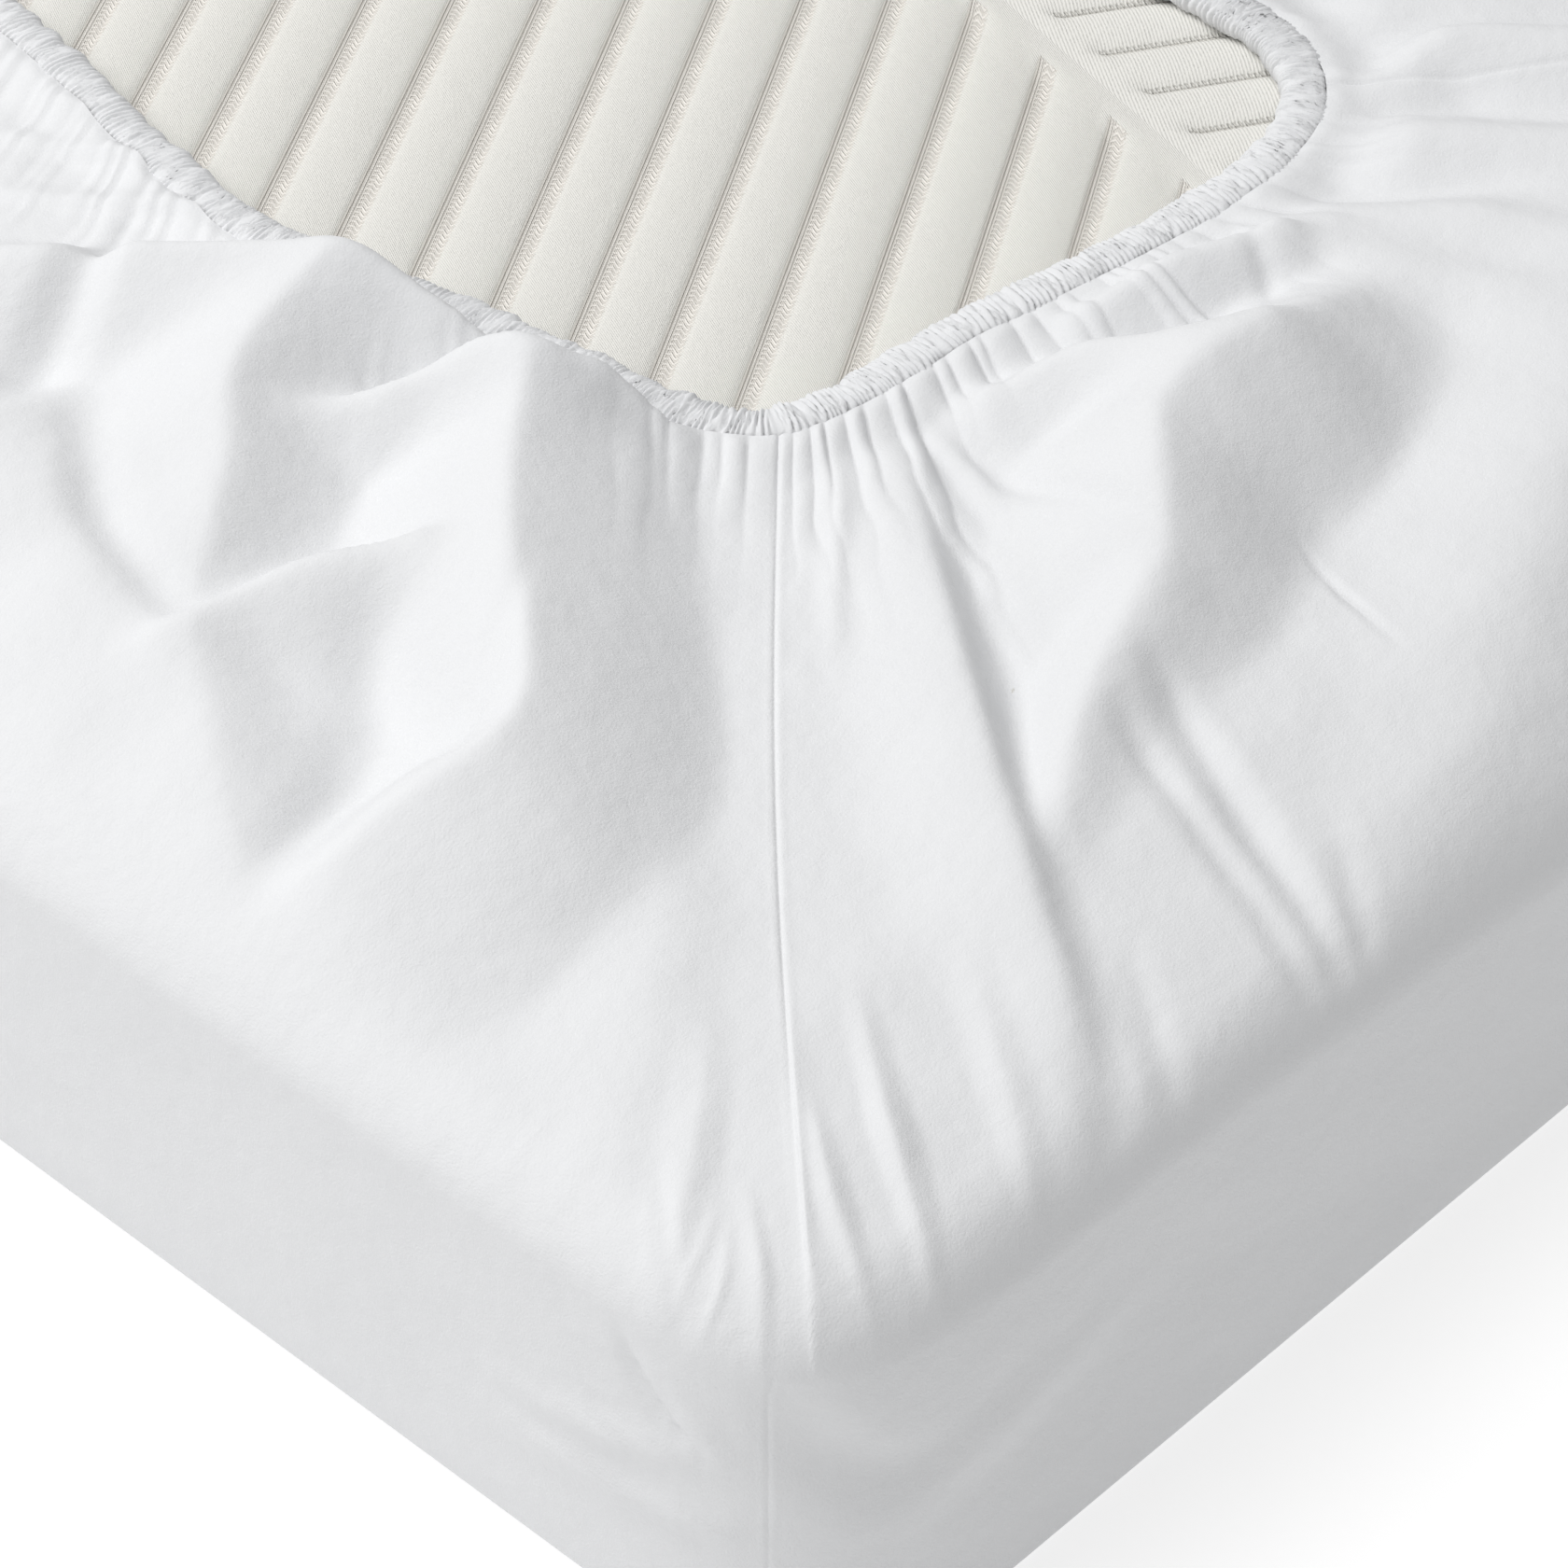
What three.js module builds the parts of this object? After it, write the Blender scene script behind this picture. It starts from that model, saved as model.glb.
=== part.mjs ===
// A small mattress lying face down in its fitted sheet, so that the gathered opening faces up.
// Millimetres, +Z up. The origin is the middle of the footprint, on the surface that it lies on.
import * as THREE from 'three';

// ---------------------------------------------------------------- driving dimensions
const COVERED = { width: 700, length: 1320, height: 127 }; // over the cloth, where it lies flat
const CLOTH = 1.5;            // thickness of the sheet
const SIDE_GAP = 2;           // mattress to cloth, round the edges
const FACE_GAP = 1;           // mattress to cloth, under the turned-in border
const BASE_GAP = 0.5;         // mattress to cloth, below
const CORNER_RUN = 80;        // how far in from a side the upper face starts to round off
const CORNER_DROP = 28;       // how far it falls by the side
const CORNER_POWER = 3.5;     // how square a corner is in plan
const BASE_RADIUS = 3;        // bottom edge of the sheet
const MATTRESS_RADIUS = 2;    // and of the mattress inside it

// Gathered hem: a fat roll of cloth round the opening.
const HEM = { width: 14, height: 8, foot: 3 };

// The hem's outer edge seen from above, a few points a side, joined by a smooth closed curve.
// Each side starts at the corner that a corner seam runs to.
const HEM_SIDES = [
  [[-110, -431], [-85, -434], [-45, -436], [0, -442], [55, -446], [90, -441]],
  [[114, -427], [130, -402], [134, -370], [134, -250], [130, -100], [134, 70], [130, 240], [130, 370]],
  [[105, 425], [50, 421], [0, 425], [-55, 421]],
  [[-110, 425], [-130, 375], [-135, 230], [-130, 60], [-122, -60], [-130, -140], [-144, -205],
    [-151, -250], [-146, -290], [-138, -330], [-134, -365], [-129, -400]],
];

// Stations along each side of the sheet, in columns: closer where the folds are.
const SIDES = [
  { side: 'front', fine: [-1, 0.25], fineCount: 17, coarseCount: 8 },
  { side: 'right', fine: [-1, -0.9], fineCount: 2, coarseCount: 20 },
  { side: 'back', fine: [-1, -0.9], fineCount: 2, coarseCount: 11 },
  { side: 'left', fine: [0.15, 1], fineCount: 18, coarseCount: 10 },
];
const CORNER_COLUMNS = [7, 5, 5, 5];

// Where the rings of the turned-in border lie, from the side (0) to the hem (1).
const BORDER_RINGS = [0, 0.015, 0.06, 0.14, 0.25, 0.38, 0.51, 0.64, 0.77, 0.9, 1];
const SIDE_RINGS = [1];
const BASE_ARC_STEPS = 2;

// Folds of the border: crest points, the rise there, and how far the fold reaches to the left
// and to the right of someone walking along the crest.
const FOLDS = {
  backBillow: [
    { x: -240, y: -200, rise: 14, left: 40, right: 60 },
    { x: -190, y: -260, rise: 25, left: 40, right: 60 },
    { x: -165, y: -295, rise: 27, left: 26, right: 50 },
    { x: -145, y: -325, rise: 14, left: 16, right: 22 },
  ],
  backBillowFront: [
    { x: -160, y: -310, rise: 25, left: 22, right: 40 },
    { x: -190, y: -305, rise: 26, left: 26, right: 60 },
    { x: -215, y: -345, rise: 18, left: 22, right: 70 },
    { x: -250, y: -360, rise: 11, left: 22, right: 50 },
  ],
  leftField: [
    { x: -265, y: -270, rise: 17, left: 60, right: 60 },
    { x: -260, y: -325, rise: 13, left: 60, right: 55 },
    { x: -310, y: -370, rise: 10, left: 60, right: 60 },
  ],
  middleCrest: [
    { x: -280, y: -375, rise: 12, left: 36, right: 34 },
    { x: -220, y: -400, rise: 20, left: 28, right: 36 },
  ],
  frontBillowTop: [
    { x: -190, y: -340, rise: 15, left: 16, right: 40 },
    { x: -150, y: -375, rise: 26, left: 32, right: 50 },
    { x: -128, y: -390, rise: 9, left: 14, right: 18 },
  ],
  frontBillow: [
    { x: -155, y: -380, rise: 26, left: 38, right: 46 },
    { x: -190, y: -405, rise: 25, left: 42, right: 54 },
    { x: -230, y: -445, rise: 24, left: 40, right: 60 },
    { x: -255, y: -478, rise: 22, left: 40, right: 50 },
    { x: -285, y: -477, rise: 20, left: 42, right: 50 },
    { x: -345, y: -464, rise: 7, left: 34, right: 50 },
  ],
  seamPanelRidge: [
    { x: -140, y: -430, rise: 3, left: 20, right: 40 },
    { x: -280, y: -540, rise: 6, left: 24, right: 44 },
  ],
  rightRidge: [
    { x: -90, y: -455, rise: 6, left: 20, right: 18 },
    { x: -130, y: -497, rise: 9, left: 24, right: 20 },
    { x: -180, y: -551, rise: 9, left: 28, right: 24 },
    { x: -245, y: -645, rise: 3, left: 26, right: 24 },
  ],
  rightSecondRidge: [
    { x: -105, y: -545, rise: 18, left: 34, right: 28 },
    { x: -195, y: -590, rise: 3, left: 22, right: 24 },
  ],
  rightBillowTop: [
    { x: -62, y: -458, rise: 8, left: 18, right: 24 },
    { x: -42, y: -470, rise: 18, left: 24, right: 38 },
    { x: -30, y: -500, rise: 24, left: 36, right: 50 },
    { x: -8, y: -512, rise: 24, left: 40, right: 48 },
    { x: 16, y: -510, rise: 18, left: 44, right: 46 },
  ],
  rightBillow: [
    { x: -22, y: -512, rise: 23, left: 58, right: 34 },
    { x: -48, y: -506, rise: 25, left: 62, right: 40 },
    { x: -70, y: -520, rise: 24, left: 60, right: 46 },
    { x: -90, y: -542, rise: 20, left: 50, right: 50 },
    { x: -115, y: -548, rise: 16, left: 44, right: 42 },
    { x: -130, y: -562, rise: 8, left: 34, right: 34 },
  ],
  behindRight: [
    { x: -20, y: -440, rise: 7, left: 16, right: 22 },
    { x: 10, y: -445, rise: 14, left: 20, right: 28 },
    { x: 37, y: -460, rise: 14, left: 20, right: 28 },
  ],
  farRightRidge: [
    { x: 120, y: -435, rise: 8, left: 22, right: 24 },
    { x: 145, y: -435, rise: 19, left: 26, right: 28 },
    { x: 165, y: -470, rise: 18, left: 30, right: 30 },
    { x: 200, y: -515, rise: 8, left: 32, right: 32 },
  ],
  rightPlateau: [
    { x: 35, y: -535, rise: 12, left: 45, right: 60 },
    { x: -50, y: -615, rise: 8, left: 45, right: 60 },
  ],
};

// Plainer gathers run straight out from the hem round the rest of the border:
// the share of the way round the sheet, the rise, the half width and the reach outwards.
const GATHERS = [
  { name: 'front right', around: 0.165, rise: 10, half: 34, reach: 0.6 },
  { name: 'right 1', around: 0.215, rise: 15, half: 38, reach: 0.7 },
  { name: 'right 2', around: 0.262, rise: 9, half: 34, reach: 0.5 },
  { name: 'right 3', around: 0.31, rise: 13, half: 44, reach: 0.65 },
  { name: 'right 4', around: 0.365, rise: 10, half: 38, reach: 0.55 },
  { name: 'right 5', around: 0.42, rise: 16, half: 46, reach: 0.7 },
  { name: 'back right', around: 0.512, rise: 12, half: 40, reach: 0.6 },
  { name: 'back middle', around: 0.57, rise: 9, half: 36, reach: 0.5 },
  { name: 'back left', around: 0.63, rise: 15, half: 42, reach: 0.7 },
  { name: 'left 1', around: 0.712, rise: 14, half: 42, reach: 0.65 },
  { name: 'left 2', around: 0.765, rise: 10, half: 38, reach: 0.5 },
  { name: 'left 3', around: 0.818, rise: 16, half: 46, reach: 0.7 },
];
const FOLD_UNION_POWER = 3;   // how softly overlapping folds run into each other
const FOLD_EDGE_FADE = 32;    // folds die out this near the side
const FOLD_HEM_FADE = 16;     // and come down to the hem over this
const CREST_SAMPLES = 6;      // straight steps between two crest points

// Quilted channels of the mattress in the opening. The runs left of a leaning turning line
// climb to the right, with wide sunk bands between them, and those right of it fall, with
// narrow stitched grooves.
const CHANNEL_SLOPE = Math.tan(THREE.MathUtils.degToRad(31));
const TURNING_LINE = { x: 84.8, y: -348, lean: 0.277 };
const QUILT_WINDOW = { halfWidth: 165, halfLength: 572 };
const BANDS = { first: -195.6, pitch: 29.35, count: [-24, 10], depth: 3.2, shoulder: 0.9 };
const GROOVES = { first: -281, pitch: 26.4, count: [-8, 6], depth: 2, shoulder: 0.7 };
const BAND_ROWS = [
  { share: 0, drop: 'crown' }, { share: 0.33, drop: 'shoulder' }, { share: 0.39, drop: 'depth' },
  { share: 0.61, drop: 'depth' }, { share: 0.67, drop: 'shoulder' },
];
const GROOVE_ROWS = [
  { share: 0, drop: 'crown' }, { share: 0.4, drop: 'shoulder' }, { share: 0.5, drop: 'depth' },
  { share: 0.6, drop: 'shoulder' },
];
const QUILT_END = 7;          // a channel fades out over this at its ends
const TURNING_GAP = 5;        // bare ticking each side of the turning line

// ---------------------------------------------------------------- small helpers
const clamp01 = (t) => Math.min(1, Math.max(0, t));
const smooth = (t) => clamp01(t) ** 2 * (3 - 2 * clamp01(t));
const mix = (a, b, t) => a + (b - a) * t;

// A smooth open or closed curve through plan points, as a function of 0 to 1.
function planCurve(points, closed) {
  const curve = new THREE.CatmullRomCurve3(
    points.map(([x, y]) => new THREE.Vector3(x, y, 0)), closed, 'centripetal');
  curve.arcLengthDivisions = 800;
  return curve;
}

// ---------------------------------------------------------------- outline and crown
// How far out a plan point is in the soft edge: 0 on the flat, 1 at the side.
function edgeShare(x, y, halfWidth, halfLength) {
  const u = Math.max(0, 1 - (halfWidth - Math.abs(x)) / CORNER_RUN);
  const v = Math.max(0, 1 - (halfLength - Math.abs(y)) / CORNER_RUN);
  return (u ** CORNER_POWER + v ** CORNER_POWER) ** (1 / CORNER_POWER);
}

function crownFall(share) {
  return CORNER_DROP * (1 - Math.sqrt(1 - Math.min(1, share) ** 2));
}

// A column's point on the outline that runs at the given share of the soft edge.
function outlinePoint(column, halfWidth, halfLength, share = 1) {
  const innerWidth = halfWidth - CORNER_RUN;
  const innerLength = halfLength - CORNER_RUN;
  return [
    column.alongX * innerWidth + column.u * CORNER_RUN * share,
    column.alongY * innerLength + column.v * CORNER_RUN * share,
  ];
}

// Columns run anticlockwise from the front left corner seam. Each straight side is followed by
// the second half of the corner before it and the first half of the next one.
function makeColumns() {
  const directions = [[1, 0], [0, 1], [-1, 0], [0, -1]];
  const columns = [];
  directions.forEach(([dx, dy], k) => {
    const outward = [dy, -dx];
    const { fine, fineCount, coarseCount } = SIDES[k];
    const arcPart = (from, to, steps, start) => {
      for (let i = start; i < steps; i += 1) {
        const angle = mix(from, to, i / steps);
        const along = Math.sign(Math.sin(angle)) * Math.abs(Math.sin(angle)) ** (2 / CORNER_POWER);
        const out = Math.cos(angle) ** (2 / CORNER_POWER);
        const end = from < 0 ? -1 : 1;
        columns.push({
          side: k,
          alongX: dx * end + outward[0],
          alongY: dy * end + outward[1],
          u: dx * along + outward[0] * out,
          v: dy * along + outward[1] * out,
        });
      }
    };
    arcPart(-Math.PI / 4, 0, CORNER_COLUMNS[k], 0);
    const stations = [];
    for (let i = 0; i < fineCount; i += 1) stations.push(mix(fine[0], fine[1], i / fineCount));
    const [from, to] = fine[0] <= -1 ? [fine[1], 1] : [-1, fine[0]];
    const coarse = [];
    for (let i = 0; i < coarseCount; i += 1) coarse.push(mix(from, to, i / coarseCount));
    const ordered = fine[0] <= -1 ? [...stations, ...coarse] : [...coarse, ...stations];
    ordered.forEach((share) => columns.push({
      side: k,
      alongX: dx * share + outward[0],
      alongY: dy * share + outward[1],
      u: outward[0],
      v: outward[1],
    }));
    arcPart(0, Math.PI / 4, CORNER_COLUMNS[(k + 1) % 4], 0);
  });
  return columns;
}

const columns = makeColumns();

// Each column's point on the hem: the share of the way along its side, from seam to seam.
const hemCurve = planCurve(HEM_SIDES.flat(), true);
const hemStarts = HEM_SIDES.reduce((starts, side) => [...starts, starts.at(-1) + side.length], [0]);

function placeOnHem() {
  const halfWidth = COVERED.width / 2;
  const halfLength = COVERED.length / 2;
  const outer = columns.map((column) => outlinePoint(column, halfWidth, halfLength));
  const lengths = outer.map((point, i) => {
    const next = outer[(i + 1) % outer.length];
    return Math.hypot(next[0] - point[0], next[1] - point[1]);
  });
  for (let k = 0; k < 4; k += 1) {
    const own = columns.map((column, i) => i).filter((i) => columns[i].side === k);
    const total = own.reduce((sum, i) => sum + lengths[i], 0);
    const from = hemStarts[k] / hemStarts[4];
    const to = hemStarts[k + 1] / hemStarts[4];
    let walked = 0;
    own.forEach((i) => {
      const share = mix(from, to, walked / total);
      const point = hemCurve.getPoint(share);
      const along = hemCurve.getTangent(share);
      columns[i].hem = [point.x, point.y];
      columns[i].inward = [-along.y, along.x];
      columns[i].around = (k + walked / total) / 4;
      walked += lengths[i];
    });
  }
}
placeOnHem();

// ---------------------------------------------------------------- folds
function sampleFold(rows) {
  const curve = planCurve(rows.map((row) => [row.x, row.y]), false);
  const steps = (rows.length - 1) * CREST_SAMPLES;
  return Array.from({ length: steps + 1 }, (_, i) => {
    const place = i / CREST_SAMPLES;
    const k = Math.min(rows.length - 2, Math.floor(place));
    const point = curve.getPoint(i / steps);
    const blend = (key) => mix(rows[k][key], rows[k + 1][key], place - k);
    return { x: point.x, y: point.y, rise: blend('rise'), left: blend('left'), right: blend('right') };
  });
}

function gatherRows({ around, rise, half, reach }) {
  const gap = (column) => Math.abs(column.around - around);
  const near = columns.reduce((best, column) => (gap(column) < gap(best) ? column : best));
  const outer = outlinePoint(near, COVERED.width / 2, COVERED.length / 2);
  const at = (share) => [mix(near.hem[0], outer[0], share), mix(near.hem[1], outer[1], share)];
  const shares = [0.12, 0.12 + reach * 0.45, 0.12 + reach];
  const rises = [0.8, 1, 0.3];
  return shares.map((share, i) => {
    const [x, y] = at(share);
    const reachSide = half * mix(0.7, 1.2, share);
    return { x, y, rise: rise * rises[i], left: reachSide, right: reachSide };
  });
}

const crests = [...Object.values(FOLDS), ...GATHERS.map(gatherRows)].map(sampleFold);

// The rise of one fold at a plan point.
function foldRise(crest, x, y) {
  let best = { distance: Infinity };
  for (let i = 0; i + 1 < crest.length; i += 1) {
    const a = crest[i];
    const b = crest[i + 1];
    const dx = b.x - a.x;
    const dy = b.y - a.y;
    const t = clamp01(((x - a.x) * dx + (y - a.y) * dy) / (dx * dx + dy * dy));
    const ex = x - mix(a.x, b.x, t);
    const ey = y - mix(a.y, b.y, t);
    const distance = Math.hypot(ex, ey);
    if (distance < best.distance) {
      const turn = (dx * ey - dy * ex) / (Math.hypot(dx, dy) * Math.max(distance, 1e-6));
      best = { distance, turn, a, b, t };
    }
  }
  const { distance, turn, a, b, t } = best;
  const reach = mix(mix(a.right, b.right, t), mix(a.left, b.left, t), (turn + 1) / 2);
  return mix(a.rise, b.rise, t) * (1 - smooth(distance / reach));
}

function borderRise(x, y) {
  const sum = crests.reduce((total, crest) => total + foldRise(crest, x, y) ** FOLD_UNION_POWER, 0);
  return sum ** (1 / FOLD_UNION_POWER);
}

// ---------------------------------------------------------------- the sheet's two faces
// One face of the cloth as rings from the floor to the hem; inset is 0 outside, CLOTH inside.
function sheetRings(inset) {
  const halfWidth = COVERED.width / 2 - inset;
  const halfLength = COVERED.length / 2 - inset;
  const top = COVERED.height - inset;
  const rings = [];
  const ring = (place) => rings.push(columns.map((column) => new THREE.Vector3(...place(column))));
  for (let i = 0; i <= BASE_ARC_STEPS; i += 1) {
    const angle = (i / BASE_ARC_STEPS) * (Math.PI / 2);
    const radius = BASE_RADIUS - inset;
    const pull = radius * (1 - Math.sin(angle));
    const z = inset + radius * (1 - Math.cos(angle));
    ring((column) => [...outlinePoint(column, halfWidth - pull, halfLength - pull), z]);
  }
  SIDE_RINGS.forEach((share) => {
    const z = mix(BASE_RADIUS, top - CORNER_DROP, share);
    ring((column) => [...outlinePoint(column, halfWidth, halfLength), z]);
  });
  BORDER_RINGS.slice(1).forEach((share) => ring((column) => {
    const [ox, oy] = outlinePoint(column, halfWidth, halfLength);
    const x = mix(ox, column.hem[0], share);
    const y = mix(oy, column.hem[1], share);
    const fall = crownFall(edgeShare(x, y, halfWidth, halfLength));
    const toSide = Math.min(halfWidth - Math.abs(x), halfLength - Math.abs(y));
    const toHem = Math.hypot(x - column.hem[0], y - column.hem[1]);
    const fade = smooth(toSide / FOLD_EDGE_FADE) * smooth(toHem / FOLD_HEM_FADE);
    return [x, y, top - fall + borderRise(x, y) * fade];
  }));
  return rings;
}

// The rolled hem: over it on the outside, and back under it to the inner face.
function hemRings() {
  const base = COVERED.height - CLOTH;
  const section = [
    { into: 0, z: base + HEM.foot },
    { into: HEM.width * 0.2, z: base + HEM.height * 0.8 },
    { into: HEM.width * 0.5, z: base + HEM.height },
    { into: HEM.width * 0.82, z: base + HEM.height * 0.72 },
    { into: HEM.width, z: base + HEM.height * 0.3 },
    { into: HEM.width * 0.85, z: base },
  ];
  return section.map(({ into, z }) => columns.map((column) => new THREE.Vector3(
    column.hem[0] + column.inward[0] * into, column.hem[1] + column.inward[1] * into, z)));
}

// ---------------------------------------------------------------- meshing
// Quads between rings of equal length, and flat lids on the first and the last ring.
function ringsToSolid(rings, lids) {
  const points = rings.flat();
  const size = rings[0].length;
  const faces = [];
  for (let r = 0; r + 1 < rings.length; r += 1) {
    for (let c = 0; c < size; c += 1) {
      const next = (c + 1) % size;
      const [a, b] = [r * size + c, r * size + next];
      const [d, e] = [(r + 1) * size + c, (r + 1) * size + next];
      faces.push([a, b, e], [a, e, d]);
    }
  }
  return { points, faces: faces.concat(lids(rings, size)) };
}

// A flat lid over ring r, facing up or down.
function flatLid(rings, r, size, up) {
  const outline = rings[r].map((p) => new THREE.Vector2(p.x, p.y));
  return THREE.ShapeUtils.triangulateShape(outline, []).map(([a, b, c]) => {
    const face = [a, b, c].map((i) => r * size + i);
    return up ? face : face.reverse();
  });
}

function toGeometry({ points, faces }) {
  const geometry = new THREE.BufferGeometry();
  const positions = new Float32Array(points.flatMap((p) => [p.x, p.y, p.z]));
  geometry.setAttribute('position', new THREE.BufferAttribute(positions, 3));
  geometry.setIndex(faces.flat());
  geometry.computeVertexNormals();
  return geometry;
}

// ---------------------------------------------------------------- the sheet
function makeSheet() {
  const outer = sheetRings(0);
  const inner = sheetRings(CLOTH);
  // The last ring of each face lies at the hem, where the roll's own rings take over.
  const rings = [...outer.slice(0, -1), ...hemRings(), ...inner.slice(0, -1).reverse()];
  const solid = ringsToSolid(rings, (all, size) => [
    ...flatLid(all, 0, size, false),
    ...flatLid(all, all.length - 1, size, true),
  ]);
  const material = new THREE.MeshStandardMaterial({ color: 0xf1f2f5, roughness: 0.85, metalness: 0 });
  const mesh = new THREE.Mesh(toGeometry(solid), material);
  mesh.name = 'sheet';
  return mesh;
}

// ---------------------------------------------------------------- the mattress
const INSET = CLOTH + SIDE_GAP;
const MATTRESS = {
  halfWidth: COVERED.width / 2 - INSET,
  halfLength: COVERED.length / 2 - INSET,
  bottom: CLOTH + BASE_GAP,
  top: COVERED.height - CLOTH - FACE_GAP,
};
const MATTRESS_SHARES = [1, 0.98, 0.9, 0.7, 0.4, 0.1];
const FLAT_TOP = MATTRESS.top - crownFall(MATTRESS_SHARES.at(-1));

// A strip of channels: rows across it, each from a left to a right end, sunk by its own drop.
function channelStrip(set, rows, ends, height) {
  const strip = [];
  for (let k = set.count[0]; k <= set.count[1]; k += 1) {
    const last = k === set.count[1];
    rows.forEach(({ share, drop }, i) => {
      if (last && i > 0) return;
      const line = set.first - (k - 0.5 + share) * set.pitch;
      const [from, to] = ends(line);
      const sunk = drop === 'crown' ? 0 : set[drop];
      strip.push([from, from + QUILT_END, to - QUILT_END, to].map((x, end) => new THREE.Vector3(
        x, height(line, x), FLAT_TOP - (end === 1 || end === 2 ? sunk : 0))));
    });
  }
  return strip;
}

const bandStrip = channelStrip(BANDS, BAND_ROWS, (line) => {
  const { x, y, lean } = TURNING_LINE;
  const turning = (x + lean * (line - y)) / (1 - lean * CHANNEL_SLOPE) - TURNING_GAP;
  const { halfWidth, halfLength } = QUILT_WINDOW;
  const lowest = (-halfLength - line) / CHANNEL_SLOPE;
  const highest = (halfLength - line) / CHANNEL_SLOPE;
  return [Math.max(-halfWidth, lowest), Math.min(turning, halfWidth, highest)];
}, (line, x) => line + CHANNEL_SLOPE * x);

const grooveStrip = channelStrip(GROOVES, GROOVE_ROWS, (line) => {
  const { x, y, lean } = TURNING_LINE;
  const turning = (x + lean * (line - y)) / (1 + lean * CHANNEL_SLOPE) + TURNING_GAP;
  return [turning, QUILT_WINDOW.halfWidth];
}, (line, x) => line - CHANNEL_SLOPE * x);

// The strip's outline, anticlockwise from above: its rows run from back to front.
function stripOutline(start, rowCount) {
  const index = (row, end) => start + row * 4 + end;
  const rows = Array.from({ length: rowCount }, (_, row) => row);
  return [
    ...rows.map((row) => index(row, 0)),
    ...[1, 2].map((end) => index(rowCount - 1, end)),
    ...rows.toReversed().map((row) => index(row, 3)),
    ...[2, 1].map((end) => index(0, end)),
  ];
}

function makeMattress() {
  const { halfWidth, halfLength, bottom, top } = MATTRESS;
  const rings = [];
  const ring = (pull, z, share = 1) => rings.push(columns.map((column) => new THREE.Vector3(
    ...outlinePoint(column, halfWidth - pull, halfLength - pull, share), z)));
  for (let i = 0; i <= BASE_ARC_STEPS; i += 1) {
    const angle = (i / BASE_ARC_STEPS) * (Math.PI / 2);
    const pull = MATTRESS_RADIUS * (1 - Math.sin(angle));
    ring(pull, bottom + MATTRESS_RADIUS * (1 - Math.cos(angle)));
  }
  MATTRESS_SHARES.forEach((share) => ring(0, top - crownFall(share), share));
  const solid = ringsToSolid(rings, (all, size) => flatLid(all, 0, size, false));
  const size = columns.length;
  const rim = Array.from({ length: size }, (_, c) => (rings.length - 1) * size + c);
  const holes = [bandStrip, grooveStrip].map((strip) => {
    const start = solid.points.length;
    solid.points.push(...strip.flat());
    for (let row = 0; row + 1 < strip.length; row += 1) {
      for (let end = 0; end < 3; end += 1) {
        const [a, b] = [start + row * 4 + end, start + row * 4 + end + 1];
        solid.faces.push([a, a + 4, b], [b, a + 4, b + 4]);
      }
    }
    return stripOutline(start, strip.length);
  });
  const flat = (list) => list.map((i) => new THREE.Vector2(solid.points[i].x, solid.points[i].y));
  const order = [rim, ...holes].flat();
  THREE.ShapeUtils.triangulateShape(flat(rim), holes.map(flat)).forEach((face) => {
    solid.faces.push(face.map((i) => order[i]));
  });
  const material = new THREE.MeshStandardMaterial({ color: 0xeeede8, roughness: 0.9, metalness: 0 });
  const mesh = new THREE.Mesh(toGeometry(solid), material);
  mesh.name = 'mattress';
  return mesh;
}

const object = new THREE.Group();
object.add(makeSheet(), makeMattress());

export default object;
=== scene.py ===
"""A small mattress lying face down in its gathered fitted sheet, dressed for rendering."""
import math
import random

import bpy
import numpy as np
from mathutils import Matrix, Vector


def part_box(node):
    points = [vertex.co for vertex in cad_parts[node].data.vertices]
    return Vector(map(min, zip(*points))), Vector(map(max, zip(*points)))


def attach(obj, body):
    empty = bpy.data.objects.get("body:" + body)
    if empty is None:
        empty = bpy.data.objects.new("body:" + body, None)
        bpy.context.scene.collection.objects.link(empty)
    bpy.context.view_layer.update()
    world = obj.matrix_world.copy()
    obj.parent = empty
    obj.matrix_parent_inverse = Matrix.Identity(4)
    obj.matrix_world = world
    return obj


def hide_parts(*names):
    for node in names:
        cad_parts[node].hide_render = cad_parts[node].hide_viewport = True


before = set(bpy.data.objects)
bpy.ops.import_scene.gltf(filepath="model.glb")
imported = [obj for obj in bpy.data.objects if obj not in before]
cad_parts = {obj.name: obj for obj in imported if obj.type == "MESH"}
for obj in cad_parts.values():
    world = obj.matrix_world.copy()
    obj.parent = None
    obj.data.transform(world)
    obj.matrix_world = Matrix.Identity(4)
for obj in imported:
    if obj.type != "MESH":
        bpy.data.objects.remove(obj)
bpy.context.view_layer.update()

MM = 0.001


def add_object(name, data):
    """A new object in the scene."""
    made = bpy.data.objects.new(name, data)
    bpy.context.scene.collection.objects.link(made)
    return made


# ------------ camera
# The frame is square, and the near corner of the mattress points at the camera.
FRAME_PIXELS = 1680
FOCAL_PIXELS = 5930
SENSOR_WIDTH = 36.0
CAMERA_PLACE = (-960.0, -1226.0, 1014.0)  # mm
CAMERA_PITCH = 40.8  # degrees down
CAMERA_HEADING = 46.7  # degrees from +Y towards +X

camera_data = bpy.data.cameras.new("camera")
camera_data.sensor_width = SENSOR_WIDTH
camera_data.lens = FOCAL_PIXELS / FRAME_PIXELS * SENSOR_WIDTH
camera = add_object("camera", camera_data)
camera.location = [v * MM for v in CAMERA_PLACE]
camera.rotation_euler = (math.radians(90 - CAMERA_PITCH), 0, math.radians(-CAMERA_HEADING))
bpy.context.scene.camera = camera
bpy.context.scene.view_settings.view_transform = "Standard"

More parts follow.
